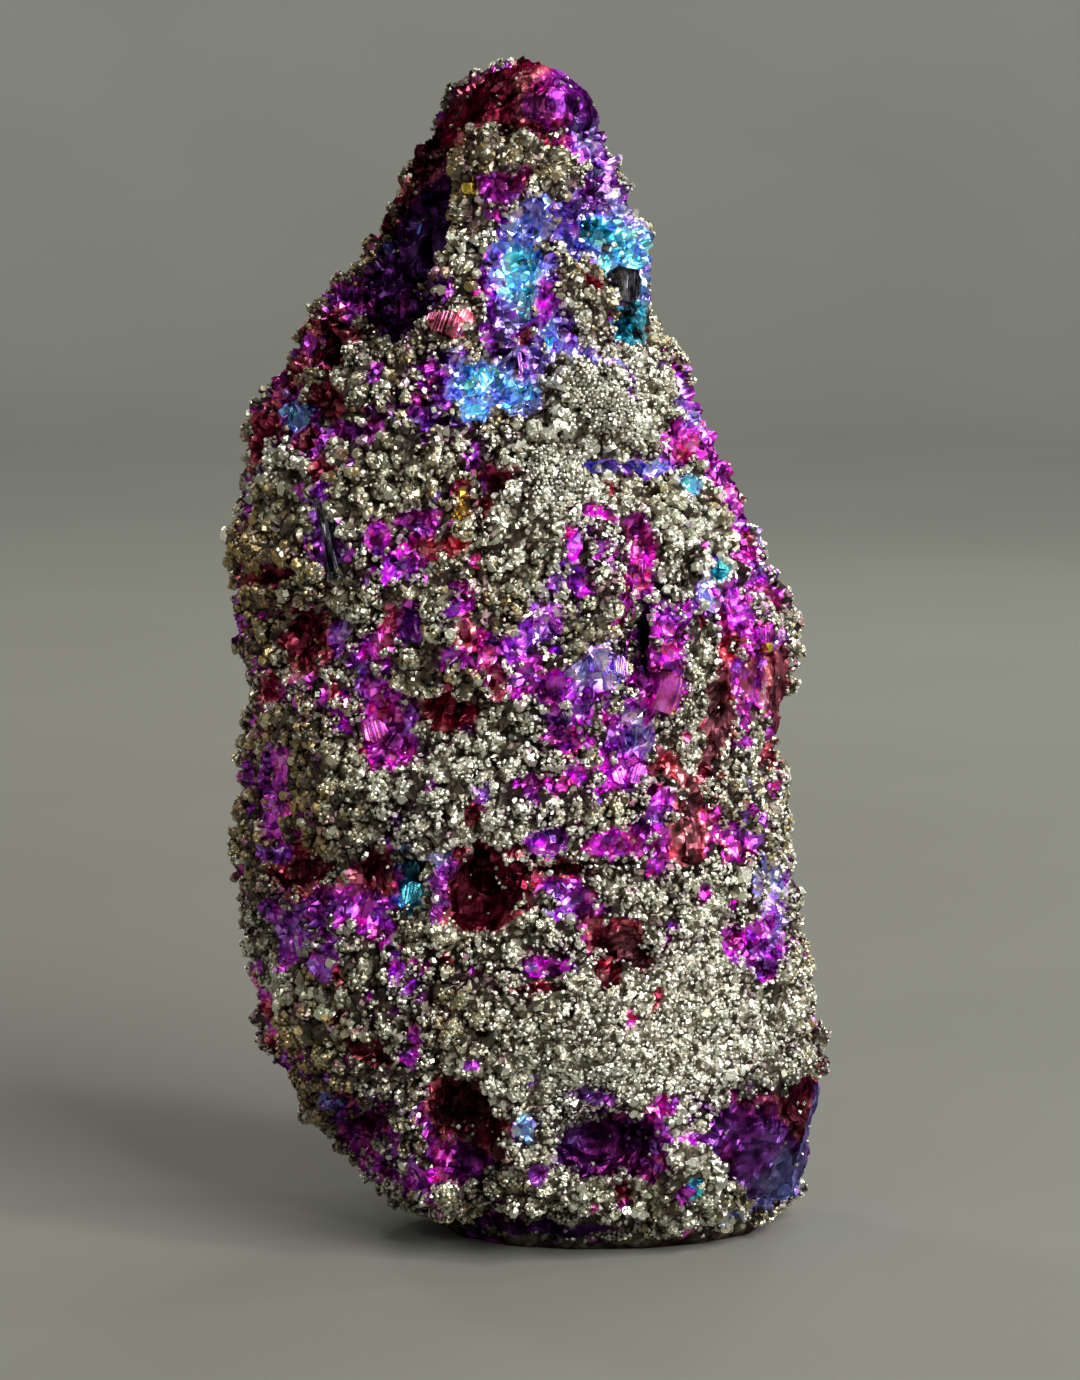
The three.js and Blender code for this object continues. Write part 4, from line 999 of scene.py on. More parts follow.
def stone_copy(sizes):
    """The frame's solid as one finely and evenly meshed skin."""
    mesh = frame["nodes"][STONE].data.copy()
    piece = bpy.data.objects.new(ORE, mesh)
    bpy.context.collection.objects.link(piece)
    choose(piece)
    with edit_mode():
        bpy.ops.mesh.select_all(action="SELECT")
        bpy.ops.mesh.remove_doubles(threshold=0.001 * MM)
    remesh = piece.modifiers.new("skin", "REMESH")
    remesh.mode = "VOXEL"
    remesh.voxel_size = sizes.voxel
    apply_modifier(piece, remesh)
    soften = piece.modifiers.new("soften", "SMOOTH")
    soften.factor = 0.5
    soften.iterations = 5
    apply_modifier(piece, soften)
    return piece


def open_windows(ground, fray, sizes):
    """How open the crust is at each point, how deep the ore lies under it, and its film."""
    points = ground.points
    openness, depth = np.zeros(len(points)), np.zeros(len(points))
    pull = np.full(len(points), PLAIN_PULL)
    film = PLAIN_PULL * (PLAIN_FILM + 0.09 * swing(points, "film"))
    for window in lay_windows(ground) + lay_flecks(ground, sizes.flecks):
        reach = max(window.wide, window.high) * 2.5 + 1.0 * MM
        close = np.flatnonzero(np.abs(points - np.array(window.centre)).max(axis=1) < reach)
        frayed = min(1, min(window.wide, window.high) / MM)
        spread = window.spread(points[close] + frayed * fray[close])
        openness[close] = np.maximum(openness[close], fade(spread, *OPENING_FADES))
        near = (spread ** 2 + 0.05) ** -4
        pull[close] += near
        film[close] += near * window.film
        depth[close] = np.maximum(depth[close], window.depth * fade(spread, *FLOOR_FADES))
    return openness, depth, film / pull


def crust_cover(ground, fray, sizes):
    """How readily the crust covers each point: it is closed well above 0 and open below."""
    points = ground.points
    frayed = points + fray
    cover = (sizes.cover + 0.7 * swing(frayed, "cover") + 0.6 * swing(frayed, "short cover")
             + 0.35 * swing(points, "fine cover"))
    for place, (amount,) in ground.laid(THINNED):
        cover -= amount * fade(Oval(*place).spread(points), *THINNING_FADES)
    return cover


def flat_faces(points, sizes, squeeze, width, wave, steepness):
    """Flat faces, each with a tilt of its own: how far each point stands out with its face."""
    squeezed = points * np.array((1, 1, squeeze))
    middles, _ = cells(squeezed, width * sizes.facet)
    tilts = stray(middles, wave) * sizes.facet_tilt * steepness
    return ((squeezed - middles) * tilts).sum(axis=1)


def rounded(height, rims, full, below):
    """Rounded lumps between creases: how far each point stands out."""
    return height * (smoothstep(rims, 0, full) - below)


def shape_ground(piece, sizes):
    """Clumps the crust, opens its windows and cuts the facets in them."""
    ground = Ground(piece.data)
    points = ground.points
    fray = sizes.ragged * (0.8 * stray(points, "fray") + 0.45 * stray(points, "fine fray"))
    openness, depth, film = open_windows(ground, fray, sizes)
    cover = crust_cover(ground, fray, sizes)
    thin = fade(cover, -0.05, 0.05)
    openness = np.maximum(openness, thin)
    smooth = ground.felt_ovals(SMOOTH, *SMOOTH_FADES)
    depth = np.maximum(depth, thin * (1 - 0.8 * smooth) * sizes.thin_depth)

    bent = points + BEND * MM * stray(points, "bend")
    _, clump_rims = cells(bent, sizes.clump)
    _, lump_rims = cells(bent, sizes.lump)
    _, cobble_rims = cells(bent * np.array((1, 1, COBBLE_SQUEEZE)), sizes.cobble)

    lumpy = 1 - 0.75 * felt_patches(points, EVEN_PATCHES)
    lumps = rounded(sizes.lump_height, lump_rims, *LUMP_FORM)
    crust_rise = rounded(sizes.clump_height * lumpy, clump_rims, *CLUMP_FORM) + lumps

    ribs = felt_patches(points, RIB_PATCHES)
    facets = flat_faces(points, sizes, *FACETS) + flat_faces(points, sizes, *SMALL_FACETS)
    facets += ribs * (flat_faces(points, sizes, *RIBS) - 0.6 * facets)
    cobbled = 0.25 + 0.75 * smoothstep(points[:, 2], *scaled(COBBLES_GROW))
    cobbles = rounded(sizes.cobble_height * cobbled, cobble_rims, *COBBLE_FORM)
    ore_rise = (facets + cobbles) * (1 - 0.75 * smooth * (1 - 0.7 * ribs)) - ORE_DROP * MM

    rise = sizes.swell + (1 - openness) * crust_rise + openness * ore_rise - depth
    held = smoothstep(points[:, 2], *scaled(RELIEF_GROWS))
    moved = points + ground.normals * (rise * held)[:, None]
    moved += stray(points, "crumb") * (CRUMB * MM * held)[:, None]
    moved[:, 2] = np.clip(moved[:, 2], 0, None)
    piece.data.vertices.foreach_set("co", moved.ravel())
    piece.data.update()

    creased = lumpy * fade(clump_rims, 0.05, 0.22)
    # Painted shade: the colour is darker towards the creases between clumps, lumps and cobbles, and
    # lighter on their tops; the ore and the grains both take it.
    crust_crease_shade = (1 - 0.55 * lumpy * fade(clump_rims, 0.02, 0.3)) * (
        0.6 + 0.4 * smoothstep(lump_rims, 0, 0.35))
    ore_crease_shade = 1 - cobbled * (1 - smooth) * fade(cobble_rims, 0, 0.35)
    # Painted shade: deep window floors and the ovals of the shaded table are darkened.
    gloom = openness * smoothstep(depth, *scaled(PAINTED_SHADE_DEPTHS))
    shaded_ovals = ground.felt_ovals(PAINTED_SHADE_OVALS, *PAINTED_SHADE_FADES)
    # Partly painted: paler grains where the light falls, browner where it falls less.
    pale, brown = felt_patches(points, PALE_AND_LIT_PATCHES), felt_patches(points, BROWN_AND_SHADED_PATCHES)
    store(piece.data, "openness", openness)
    store(piece.data, "film", film)
    store(piece.data, "gloom", np.maximum(0.7 * gloom, shaded_ovals))
    store(piece.data, "raised", crust_crease_shade + openness * (ore_crease_shade - crust_crease_shade))
    store(piece.data, "smooth", smooth)
    # In the creases the crust counts as less closed, so they take the thin ground's dark colour:
    # partly painted shade.
    store(piece.data, "closed", smoothstep(cover, 0.15, 0.6) * (1 - 0.8 * creased))
    store(piece.data, "tone", pale - brown)
    above = smoothstep(moved[:, 2], *scaled(GRAINS_BEGIN))
    store_growth(piece.data, points, above, openness, creased, film, smooth)


def store_growth(mesh, points, above, openness, creased, film, smooth):
    """Keeps where each kind of grain and crystal grows, from 0 to 1."""
    crust = above * fade(openness, 0.25, 0.7) * (1 - creased)
    patchy = felt_patches(points, COARSE_PATCHES) + 1.2 * swing(points, "coarse")
    coarse = smoothstep(patchy, 0.4, 0.7)
    finest = smoothstep(felt_patches(points, FINEST_PATCHES), 0.3, 0.6)
    store(mesh, "coarse_crust", crust * coarse * (1 - finest))
    for name, low, high in CRUST_BANDS:
        band = (points[:, 2] >= low * MM) & (points[:, 2] < high * MM)
        store(mesh, name, crust * (1 - coarse) * (1 - 0.8 * finest) * band)
    store(mesh, "dusting", above * (0.02 + (1 - openness) * (0.06 + 0.92 * finest)))
    sown = smoothstep(swing(points, "sown"), 0.0, 0.2)
    store(mesh, "bare", above * sown * smoothstep(openness, 0.4, 0.8)
          * smoothstep(film, 0.2, 0.28) * fade(smooth, 0.2, 0.6))


def map_round(piece):
    """The piece's own map: once round the stone, from the foot to the crown."""
    mesh = piece.data
    points, corners = points_of(mesh), corners_of(mesh)
    turn = np.arctan2(points[:, 0], -points[:, 1]) / (2 * math.pi) + 0.5
    across, up = turn[corners], points[corners, 2] / points[:, 2].max()
    starts = np.empty(len(mesh.polygons), dtype=np.int32)
    mesh.polygons.foreach_get("loop_start", starts)
    totals = np.diff(np.append(starts, len(corners)))
    face = np.repeat(np.arange(len(starts)), totals)
    highest = np.maximum.reduceat(across, starts)[face]
    across = np.where((highest > 0.75) & (across < 0.25), across + 1, across)
    across = np.clip(across * 0.98 + 0.01, 0, 1)
    own_map(mesh).data.foreach_set("uv", np.stack((across, up * 0.98 + 0.01), 1).ravel())


# Grains and small crystals, each form about one unit across.

def made_flat():
    """The primitive that was just made, with flat faces."""
    bpy.ops.object.shade_flat()
    return bpy.context.object


def stretched(shape):
    """The primitive that was just added, stretched, with flat faces."""
    with edit_mode():
        bpy.ops.transform.resize(value=shape)
    return made_flat()


def bead(shape):
    """A pyrite grain with twenty faces."""
    deselect()
    bpy.ops.mesh.primitive_ico_sphere_add(subdivisions=1, radius=0.54)
    return stretched(shape)


def octahedron(shape):
    """A pyrite octahedron."""
    deselect()
    bpy.ops.mesh.primitive_uv_sphere_add(segments=4, ring_count=2, radius=0.6)
    return stretched(shape)


def brick(shape):
    """A blocky crystal."""
    deselect()
    bpy.ops.mesh.primitive_cube_add(size=0.8)
    return stretched(shape)


def wedge():
    """A broken grain with five sides."""
    deselect()
    bpy.ops.mesh.primitive_cone_add(vertices=5, radius1=0.55, radius2=0.3, depth=0.8)
    return stretched((1, 0.8, 1))


def sphenoid():
    """A tarnished crystal with four leaning faces and a blunt top."""
    deselect()
    bpy.ops.mesh.primitive_cone_add(vertices=4, radius1=0.66, radius2=0.24, depth=0.8)
    return made_flat()


def cut_cube(cut):
    """A pyrite cube with its corners cut off."""
    deselect()
    bpy.ops.mesh.primitive_cube_add(size=0.84)
    with edit_mode():
        bpy.ops.mesh.bevel(offset=cut, affect="VERTICES")
    return made_flat()


def fine_forms():
    """The grains of the fine crust and of the dust."""
    return [octahedron((1, 0.85, 0.9)), brick((0.9, 0.8, 0.75)), octahedron((0.85, 1, 1)),
            bead((1, 0.84, 0.9))]


def coarse_forms():
    """The grains of the coarse crust."""
    return [cut_cube(0.3), bead((1, 0.8, 0.92)), wedge(), bead((1.1, 0.85, 0.8)),
            bead((0.9, 0.96, 1))]


def crystal_forms():
    """The small crystals in the windows."""
    return [brick((0.8, 1, 1.1)), sphenoid(), octahedron((0.9, 1, 1.2)), brick((0.7, 0.9, 1.4))]


def collect(name, forms):
    """Puts forms to be scattered in a collection of their own, outside the scene."""
    group = bpy.data.collections.new(name)
    for form in forms:
        choose(form)
        bpy.ops.object.transform_apply(location=True, rotation=True, scale=True)
        group.objects.link(form)
        bpy.context.collection.objects.unlink(form)
    return group


def discard(group):
    """Takes a collection of forms away again once what they were for is made."""
    for form in list(group.objects):
        bpy.data.objects.remove(form)
    bpy.data.collections.remove(group)


def scatter(name, ground, forms, mask, size, room, sink, rise, seed):
    """Grains sown over the ground where the mask allows, as one joined mesh."""
    tree = bpy.data.node_groups.new(name, "GeometryNodeTree")
    tree.interface.new_socket("Geometry", in_out="OUTPUT", socket_type="NodeSocketGeometry")
    nodes, links = tree.nodes, tree.links

    def node(kind, **settings):
        made = nodes.new(kind)
        for key, value in settings.items():
            setattr(made, key, value)
        return made

    def chance(low, high, salt, kind="FLOAT"):
        """A random value; each kind has its own first input and its own output."""
        first, output = {"FLOAT": (2, 1), "FLOAT_VECTOR": (0, 0), "INT": (4, 2)}[kind]
        made = node("FunctionNodeRandomValue", data_type=kind)
        made.inputs[first].default_value = low
        made.inputs[first + 1].default_value = high
        made.inputs["Seed"].default_value = seed * 10 + salt
        return made.outputs[output]

    source = node("GeometryNodeObjectInfo", transform_space="ORIGINAL")
    source.inputs["Object"].default_value = ground
    allowed = node("GeometryNodeInputNamedAttribute", data_type="FLOAT")
    allowed.inputs["Name"].default_value = mask
    sown = node("GeometryNodeDistributePointsOnFaces", distribute_method="POISSON")
    sown.inputs["Distance Min"].default_value = room * size
    sown.inputs["Density Max"].default_value = GRAIN_TRIES / (room * size) ** 2
    sown.inputs["Seed"].default_value = seed
    links.new(source.outputs["Geometry"], sown.inputs["Mesh"])
    links.new(allowed.outputs["Attribute"], sown.inputs["Density Factor"])

    lift = node("ShaderNodeVectorMath", operation="SCALE")
    links.new(sown.outputs["Normal"], lift.inputs[0])
    links.new(chance(-sink * size, rise * size, 1), lift.inputs["Scale"])
    lifted = node("GeometryNodeSetPosition")
    links.new(sown.outputs["Points"], lifted.inputs["Geometry"])
    links.new(lift.outputs[0], lifted.inputs["Offset"])

    pool = node("GeometryNodeCollectionInfo", transform_space="ORIGINAL")
    pool.inputs["Collection"].default_value = forms
    pool.inputs["Separate Children"].default_value = True
    pool.inputs["Reset Children"].default_value = True
    placed = node("GeometryNodeInstanceOnPoints")
    placed.inputs["Pick Instance"].default_value = True
    smallest, largest = (share * size for share in GRAIN_RANGE)
    turn = chance((0, 0, 0), (math.tau, math.tau, math.tau), 3, "FLOAT_VECTOR")
    links.new(lifted.outputs["Geometry"], placed.inputs["Points"])
    links.new(pool.outputs["Instances"], placed.inputs["Instance"])
    links.new(chance(0, len(forms.objects) - 1, 2, "INT"), placed.inputs["Instance Index"])
    links.new(turn, placed.inputs["Rotation"])
    links.new(chance(smallest, largest, 4), placed.inputs["Scale"])

    previous = placed.outputs["Instances"]
    for key, kind, value in (("grain", "INT", node("GeometryNodeInputIndex").outputs[0]),
                             ("chance", "FLOAT", chance(0, 1, 5)),
                             ("chance_two", "FLOAT", chance(0, 1, 6))):
        keep = node("GeometryNodeStoreNamedAttribute", data_type=kind, domain="INSTANCE")
        keep.inputs["Name"].default_value = key
        links.new(previous, keep.inputs["Geometry"])
        links.new(value, keep.inputs["Value"])
        previous = keep.outputs["Geometry"]
    joined = node("GeometryNodeRealizeInstances")
    links.new(previous, joined.inputs["Geometry"])
    links.new(joined.outputs["Geometry"], node("NodeGroupOutput").inputs["Geometry"])

    deselect()
    bpy.ops.mesh.primitive_plane_add(size=size)
    piece = bpy.context.object
    sow = piece.modifiers.new("sow", "NODES")
    sow.node_group = tree
    apply_modifier(piece, sow)
    piece.name = piece.data.name = name
    map_by_grain(piece)
    return piece


def map_by_grain(piece):
    """The piece's own map: a small square for each grain, in rows."""
    mesh = piece.data
    grain = np.empty(len(mesh.vertices), dtype=np.int32)
    mesh.attributes["grain"].data.foreach_get("value", grain)
    points = points_of(mesh)
    count = int(grain.max()) + 1
    weights = np.bincount(grain, minlength=count)[:, None]
    middles = np.stack([np.bincount(grain, points[:, axis], count) for axis in range(3)], 1)
    middles = middles / np.maximum(weights, 1)
    local = points - middles[grain]
    reach = np.zeros(count)
    np.maximum.at(reach, grain, np.abs(local).max(axis=1))
    local = local / reach[grain][:, None]
    rows = math.ceil(math.sqrt(count))
    square = np.stack((grain % rows, grain // rows), 1)
    spot = (square + 0.5 + 0.3 * local[:, (0, 2)]) / rows
    own_map(mesh).data.foreach_set("uv", spot[corners_of(mesh)].ravel())


# Single crystals.

def roughen(offset, seed):
    """The active piece, with every point of it shifted a little at random."""
    with edit_mode():
        bpy.ops.mesh.select_all(action="SELECT")
        bpy.ops.transform.vertex_random(offset=offset, uniform=0.3, seed=seed)
    return bpy.context.object


def blade(seed):
    """A rough six-sided crystal two units tall, narrowing towards both ends."""
    deselect()
    bpy.ops.mesh.primitive_cylinder_add(vertices=6, radius=1, depth=2, end_fill_type="TRIFAN")
    with edit_mode():
        bpy.ops.mesh.select_all(action="SELECT")
        bpy.ops.mesh.subdivide(number_cuts=2)
    draw = random.Random(seed)
    for end in (1, -1):
        for vertex in bpy.context.object.data.vertices:
            vertex.select = vertex.co.z * end > 0.9
        narrow = draw.uniform(0.35, 0.75)
        with edit_mode():
            bpy.ops.transform.resize(value=(narrow, narrow, 1))
    return roughen(0.2, seed)


def block(seed):
    """A blocky crystal two units across with large flat corners."""
    deselect()
    bpy.ops.mesh.primitive_cube_add(size=2)
    with edit_mode():
        bpy.ops.mesh.bevel(offset=0.6, affect="VERTICES")
    return roughen(0.16, seed)


def quartz_point(seed):
    """A six-sided crystal two units tall with a blunt point at each end."""
    deselect()
    bpy.ops.mesh.primitive_cylinder_add(vertices=6, radius=1, depth=1.5, end_fill_type="TRIFAN")
    for vertex in bpy.context.object.data.vertices:
        vertex.select = math.hypot(vertex.co.x, vertex.co.y) < 0.1
    with edit_mode():
        bpy.ops.transform.resize(value=(1, 1, 1.5))
    return roughen(0.08, seed)


CRYSTAL_SHAPES = {"blade": blade, "block": block, "quartz": quartz_point}


def stand(piece, seat, deep, sink):
    """Scales a crystal and stands it on its seat, sunk by a share of its half depth."""
    size = Matrix.Diagonal((seat.wide, deep, seat.high, 1))
    turn = Matrix((seat.across, -seat.out, seat.up)).transposed().to_4x4()
    place = Matrix.Translation(seat.centre - seat.out * sink * deep)
    piece.matrix_world = place @ turn @ size
    choose(piece)
    bpy.ops.object.transform_apply(location=True, rotation=True, scale=True)


def plant(name, table, sink):
    """A table's crystals, each on its seat on the ore, as one joined mesh."""
    ground = Ground(bpy.data.objects[ORE].data)
    draw = random.Random(len(table))
    made = []
    for shape, side, across, up, wide, deep, high, lean, *film in table:
        centre, out = ground.seat(side, across * MM, up * MM)
        seat = Oval(centre, out, wide * MM, high * MM, SIDES[side].sign * lean)
        piece = CRYSTAL_SHAPES[shape](len(made) + 1)
        fibre = points_of(piece.data)[:, 0] * wide / FIBRE_WIDTH + draw.uniform(0, 40)
        stand(piece, seat, deep * MM, sink)
        count = len(piece.data.vertices)
        store(piece.data, "fibre", fibre)
        store(piece.data, "film", np.full(count, film[0] if film else PLAIN_FILM))
        store(piece.data, "chance", np.full(count, draw.uniform(0.5, 1)))
        store(piece.data, "chance_two", np.full(count, draw.uniform(0.35, 0.6)))
        # A planted crystal takes no painted crease shade.
        store(piece.data, "raised", np.ones(count))
        made.append(piece)
    deselect()
    for piece in made:
        piece.select_set(True)
    bpy.context.view_layer.objects.active = made[0]
    bpy.ops.object.join()
    piece = bpy.context.object
    piece.name = piece.data.name = name
    choose(piece)
    bpy.ops.object.shade_flat()
    own_map(piece.data)
    with edit_mode():
        bpy.ops.mesh.select_all(action="SELECT")
        bpy.ops.uv.smart_project(island_margin=0.001, scale_to_bounds=True)
    return piece


# Materials.

class Nodes:
    """A short way to wire a material's nodes."""

    def __init__(self, name):
        self.material = bpy.data.materials.new(name)
        self.material.use_nodes = True
        self.tree = self.material.node_tree

    def feed(self, socket, value):
        """Gives a socket a value, or a link from another socket."""
        if isinstance(value, bpy.types.NodeSocket):
            self.tree.links.new(value, socket)
        else:
            socket.default_value = value

    def add(self, kind, inputs=None, **settings):
        """A new node with its settings, and its inputs by name or number."""
        made = self.tree.nodes.new(kind)
        for key, value in settings.items():
            setattr(made, key, value)
        for key, value in (inputs or {}).items():
            self.feed(made.inputs[key], value)
        return made

    def finish(self, inputs):
        """The material, once its shader has these inputs."""
        for key, value in inputs.items():
            self.feed(self.tree.nodes["Principled BSDF"].inputs[key], value)
        return self.material

    def maths(self, operation, first, second):
        return self.add("ShaderNodeMath", {0: first, 1: second}, operation=operation).outputs[0]

    def plus(self, first, second):
        return self.maths("ADD", first, second)

    def minus(self, first, second):
        return self.maths("SUBTRACT", first, second)

    def times(self, first, second):
        return self.maths("MULTIPLY", first, second)

    def vector(self, operation, first, second):
        """Vector maths; what scales a vector has an input of its own."""
        slot = "Scale" if operation == "SCALE" else 1
        return self.add(
            "ShaderNodeVectorMath", {0: first, slot: second}, operation=operation).outputs[0]

    def mix(self, share, first, second, blend="MIX"):
        made = self.add("ShaderNodeMix", data_type="RGBA", blend_type=blend)
        for key, value in (("Factor", share), ("A", first), ("B", second)):
            self.feed(made.inputs[key], value)
        return made.outputs["Result"]

    def brighten(self, colour, amount):
        """A colour times an amount, which is darker below 1."""
        grey = self.add(
            "ShaderNodeCombineColor", {"Red": amount, "Green": amount, "Blue": amount})
        return self.mix(1.0, colour, grey.outputs[0], "MULTIPLY")

    def value(self, name):
        """A number that is stored on the mesh."""
        return self.add("ShaderNodeAttribute", attribute_name=name).outputs["Fac"]

    def place(self):
        """Where a point lies in the piece's own space."""
        return self.add("ShaderNodeTexCoord").outputs["Object"]

    def clouds(self, length, detail, place=None):
        """Soft clouds of a length, from 0 to 1."""
        if place is None:
            place = self.place()
        return self.add("ShaderNodeTexNoise", {
            "Vector": place, "Scale": 1 / length, "Detail": detail}).outputs["Fac"]

    def bump(self, height, distance, strength=1.0):
        return self.add("ShaderNodeBump", {
            "Height": height, "Distance": distance, "Strength": strength}).outputs["Normal"]

    def ramp(self, share, stops):
        made = self.add("ShaderNodeValToRGB", {"Fac": share})
        band = made.color_ramp
        while len(band.elements) < len(stops):
            band.elements.new(0.5)
        for element, (place, colour) in zip(band.elements, stops):
            element.position = place
            element.color = (*colour, 1)
        return made.outputs["Color"]

    def map_range(self, value, low, high, to_low, to_high):
        """What runs from low to high, made to run from to_low to to_high and held there."""
        return self.add("ShaderNodeMapRange", {
            "Value": value, "From Min": low, "From Max": high,
            "To Min": to_low, "To Max": to_high}).outputs["Result"]

    def between(self, share, low, high):
        """From the low number where the share is 0 to the high one where it is 1."""
        return self.map_range(share, 0, 1, low, high)


def film_colour(nodes, colours, film):
    """The interference colour of a film of this thickness."""
    stops = [(place, tuple(getattr(colours, name))) for name, place in FILM_STOPS]
    return nodes.ramp(film, stops)


def tarnish(nodes, colours, shift, light):
    """The stored film's colour, shifted in patches and by facet, with painted shade in creases,
    in deep windows and in the shaded ovals.
    """
    film = nodes.value("film")
    # Gold, red and slate films are shifted little, so that they keep their colour.
    calm = nodes.times(nodes.map_range(film, 0.27, 0.40, 0.2, 1),
                       nodes.map_range(film, 0.90, 0.95, 1, 0.1))
    patch = nodes.minus(nodes.clouds(2.4 * MM, 3), 0.5)
    sway = nodes.plus(nodes.times(patch, 0.18), shift)
    shifted = nodes.plus(film, nodes.times(sway, calm))
    blotch = nodes.map_range(nodes.clouds(0.9 * MM, 2), 0.4, 0.56, 0.3, 1.5)
    # Painted shade in the creases, and painted light on the tops between them.
    crease = nodes.map_range(nodes.value("raised"), 0.1, 0.8, 0.2, 1.1)
    dark = nodes.times(blotch, crease)
    # Blue films are lifted out of the blotches and out of the painted shade in the creases.
    blue = nodes.times(nodes.map_range(film, 0.56, 0.64, 0, 0.7),
                       nodes.map_range(film, 0.80, 0.87, 1, 0))
    lifted = nodes.plus(dark, nodes.times(blue, nodes.minus(1.35, dark)))
    # Painted shade where the ore lies deep or in a shaded oval.
    gloom = nodes.between(nodes.value("gloom"), 1, 0.10)
    bright = nodes.times(nodes.times(lifted, gloom), light)
    return nodes.brighten(film_colour(nodes, colours, shifted), bright)


def crumble(nodes, length, depth):
    """A fine crumbly relief, too small to model."""
    return nodes.bump(nodes.clouds(length, 3), depth)


def ore_material(colours):
    """Tarnished ore: metal whose film changes from facet to facet, or in upright streaks."""
    nodes = Nodes("tarnished_ore")
    facet = nodes.add(
        "ShaderNodeTexVoronoi", {"Vector": nodes.place(), "Scale": 1 / (0.45 * MM)})
    facet = facet.outputs["Color"]
    split = nodes.add("ShaderNodeSeparateColor", {"Color": facet}).outputs
    smooth = nodes.value("smooth")
    upright = nodes.vector("MULTIPLY", nodes.place(), (1, 1, 0.12))
    streak = nodes.clouds(0.2 * MM, 2, upright)
    shift = nodes.between(nodes.mix(smooth, split["Red"], streak), *ORE_SHIFTS)
    # Painted highlight and shade: each facet lighter or darker at random, as if it caught more or less
    # of the light.
    light = nodes.between(split["Green"], *PAINTED_FACET_LIGHTS)
    # The dark ground under the grains is partly painted shade between them.
    thin = nodes.ramp(nodes.clouds(1.1 * MM, 3), THIN_GROUND)
    closed = nodes.ramp(nodes.clouds(0.4 * MM, 2), CLOSED_GROUND)
    under = nodes.mix(nodes.value("closed"), thin, closed)
    open_share = nodes.map_range(nodes.value("openness"), 0.15, 0.55, 0, 1)
    rough = nodes.between(split["Blue"], *ORE_ROUGHNESS)
    tilt = nodes.vector("SCALE", nodes.vector("SUBTRACT", facet, (0.5, 0.5, 0.5)),
                        nodes.between(smooth, 0.6, 0.3))
    leaned = nodes.vector("ADD", nodes.bump(streak, 0.08 * MM, smooth), tilt)
    straight = nodes.add("ShaderNodeVectorMath", {0: leaned}, operation="NORMALIZE")
    return nodes.finish({
        "Base Color": nodes.mix(open_share, under, tarnish(nodes, colours, shift, light)),
        "Metallic": 1.0,
        "Roughness": nodes.plus(rough, nodes.times(smooth, 0.1)),
        "Specular Tint": (*EDGE_TINT, 1),
        "Normal": straight.outputs[0]})


def crystal_material(colours):
    """Tarnished crystals: the same film, changing from crystal to crystal."""
    nodes = Nodes("tarnished_crystals")
    chance = nodes.value("chance")
    shift = nodes.between(chance, *CRYSTAL_SHIFTS)
    # Painted highlight and shade: each crystal lighter or darker at random, as if it caught more or
    # less of the light.
    light = nodes.between(nodes.value("chance_two"), *PAINTED_FACET_LIGHTS)
    return nodes.finish({
        "Base Color": tarnish(nodes, colours, shift, light),
        "Metallic": 1.0,
        "Roughness": nodes.between(chance, *CRYSTAL_ROUGHNESS),
        "Specular Tint": (*EDGE_TINT, 1),
        "Normal": crumble(nodes, 0.13 * MM, 0.05 * MM)})


def blade_material(colours):
    """The larger tarnished crystals: smooth faces with streaks along them."""
    nodes = Nodes("tarnished_blades")
    fibre = nodes.add("ShaderNodeTexNoise", {
        "W": nodes.value("fibre"), "Scale": 1.0, "Detail": 2.0}, noise_dimensions="1D")
    fibre = fibre.outputs["Fac"]
    shift = nodes.map_range(fibre, 0.3, 0.7, *BLADE_SHIFTS)
    # Painted highlight and shade: soft patches along a blade, lighter or darker.
    light = nodes.map_range(nodes.clouds(0.7 * MM, 2), 0.35, 0.65, *PAINTED_BLADE_LIGHTS)
    return nodes.finish({
        "Base Color": tarnish(nodes, colours, shift, light),
        "Metallic": 1.0,
        "Roughness": nodes.map_range(nodes.clouds(0.3 * MM, 2), 0.3, 0.7, *BLADE_ROUGHNESS),
        "Specular Tint": (*EDGE_TINT, 1),
        "Normal": nodes.bump(fibre, 0.07 * MM)})


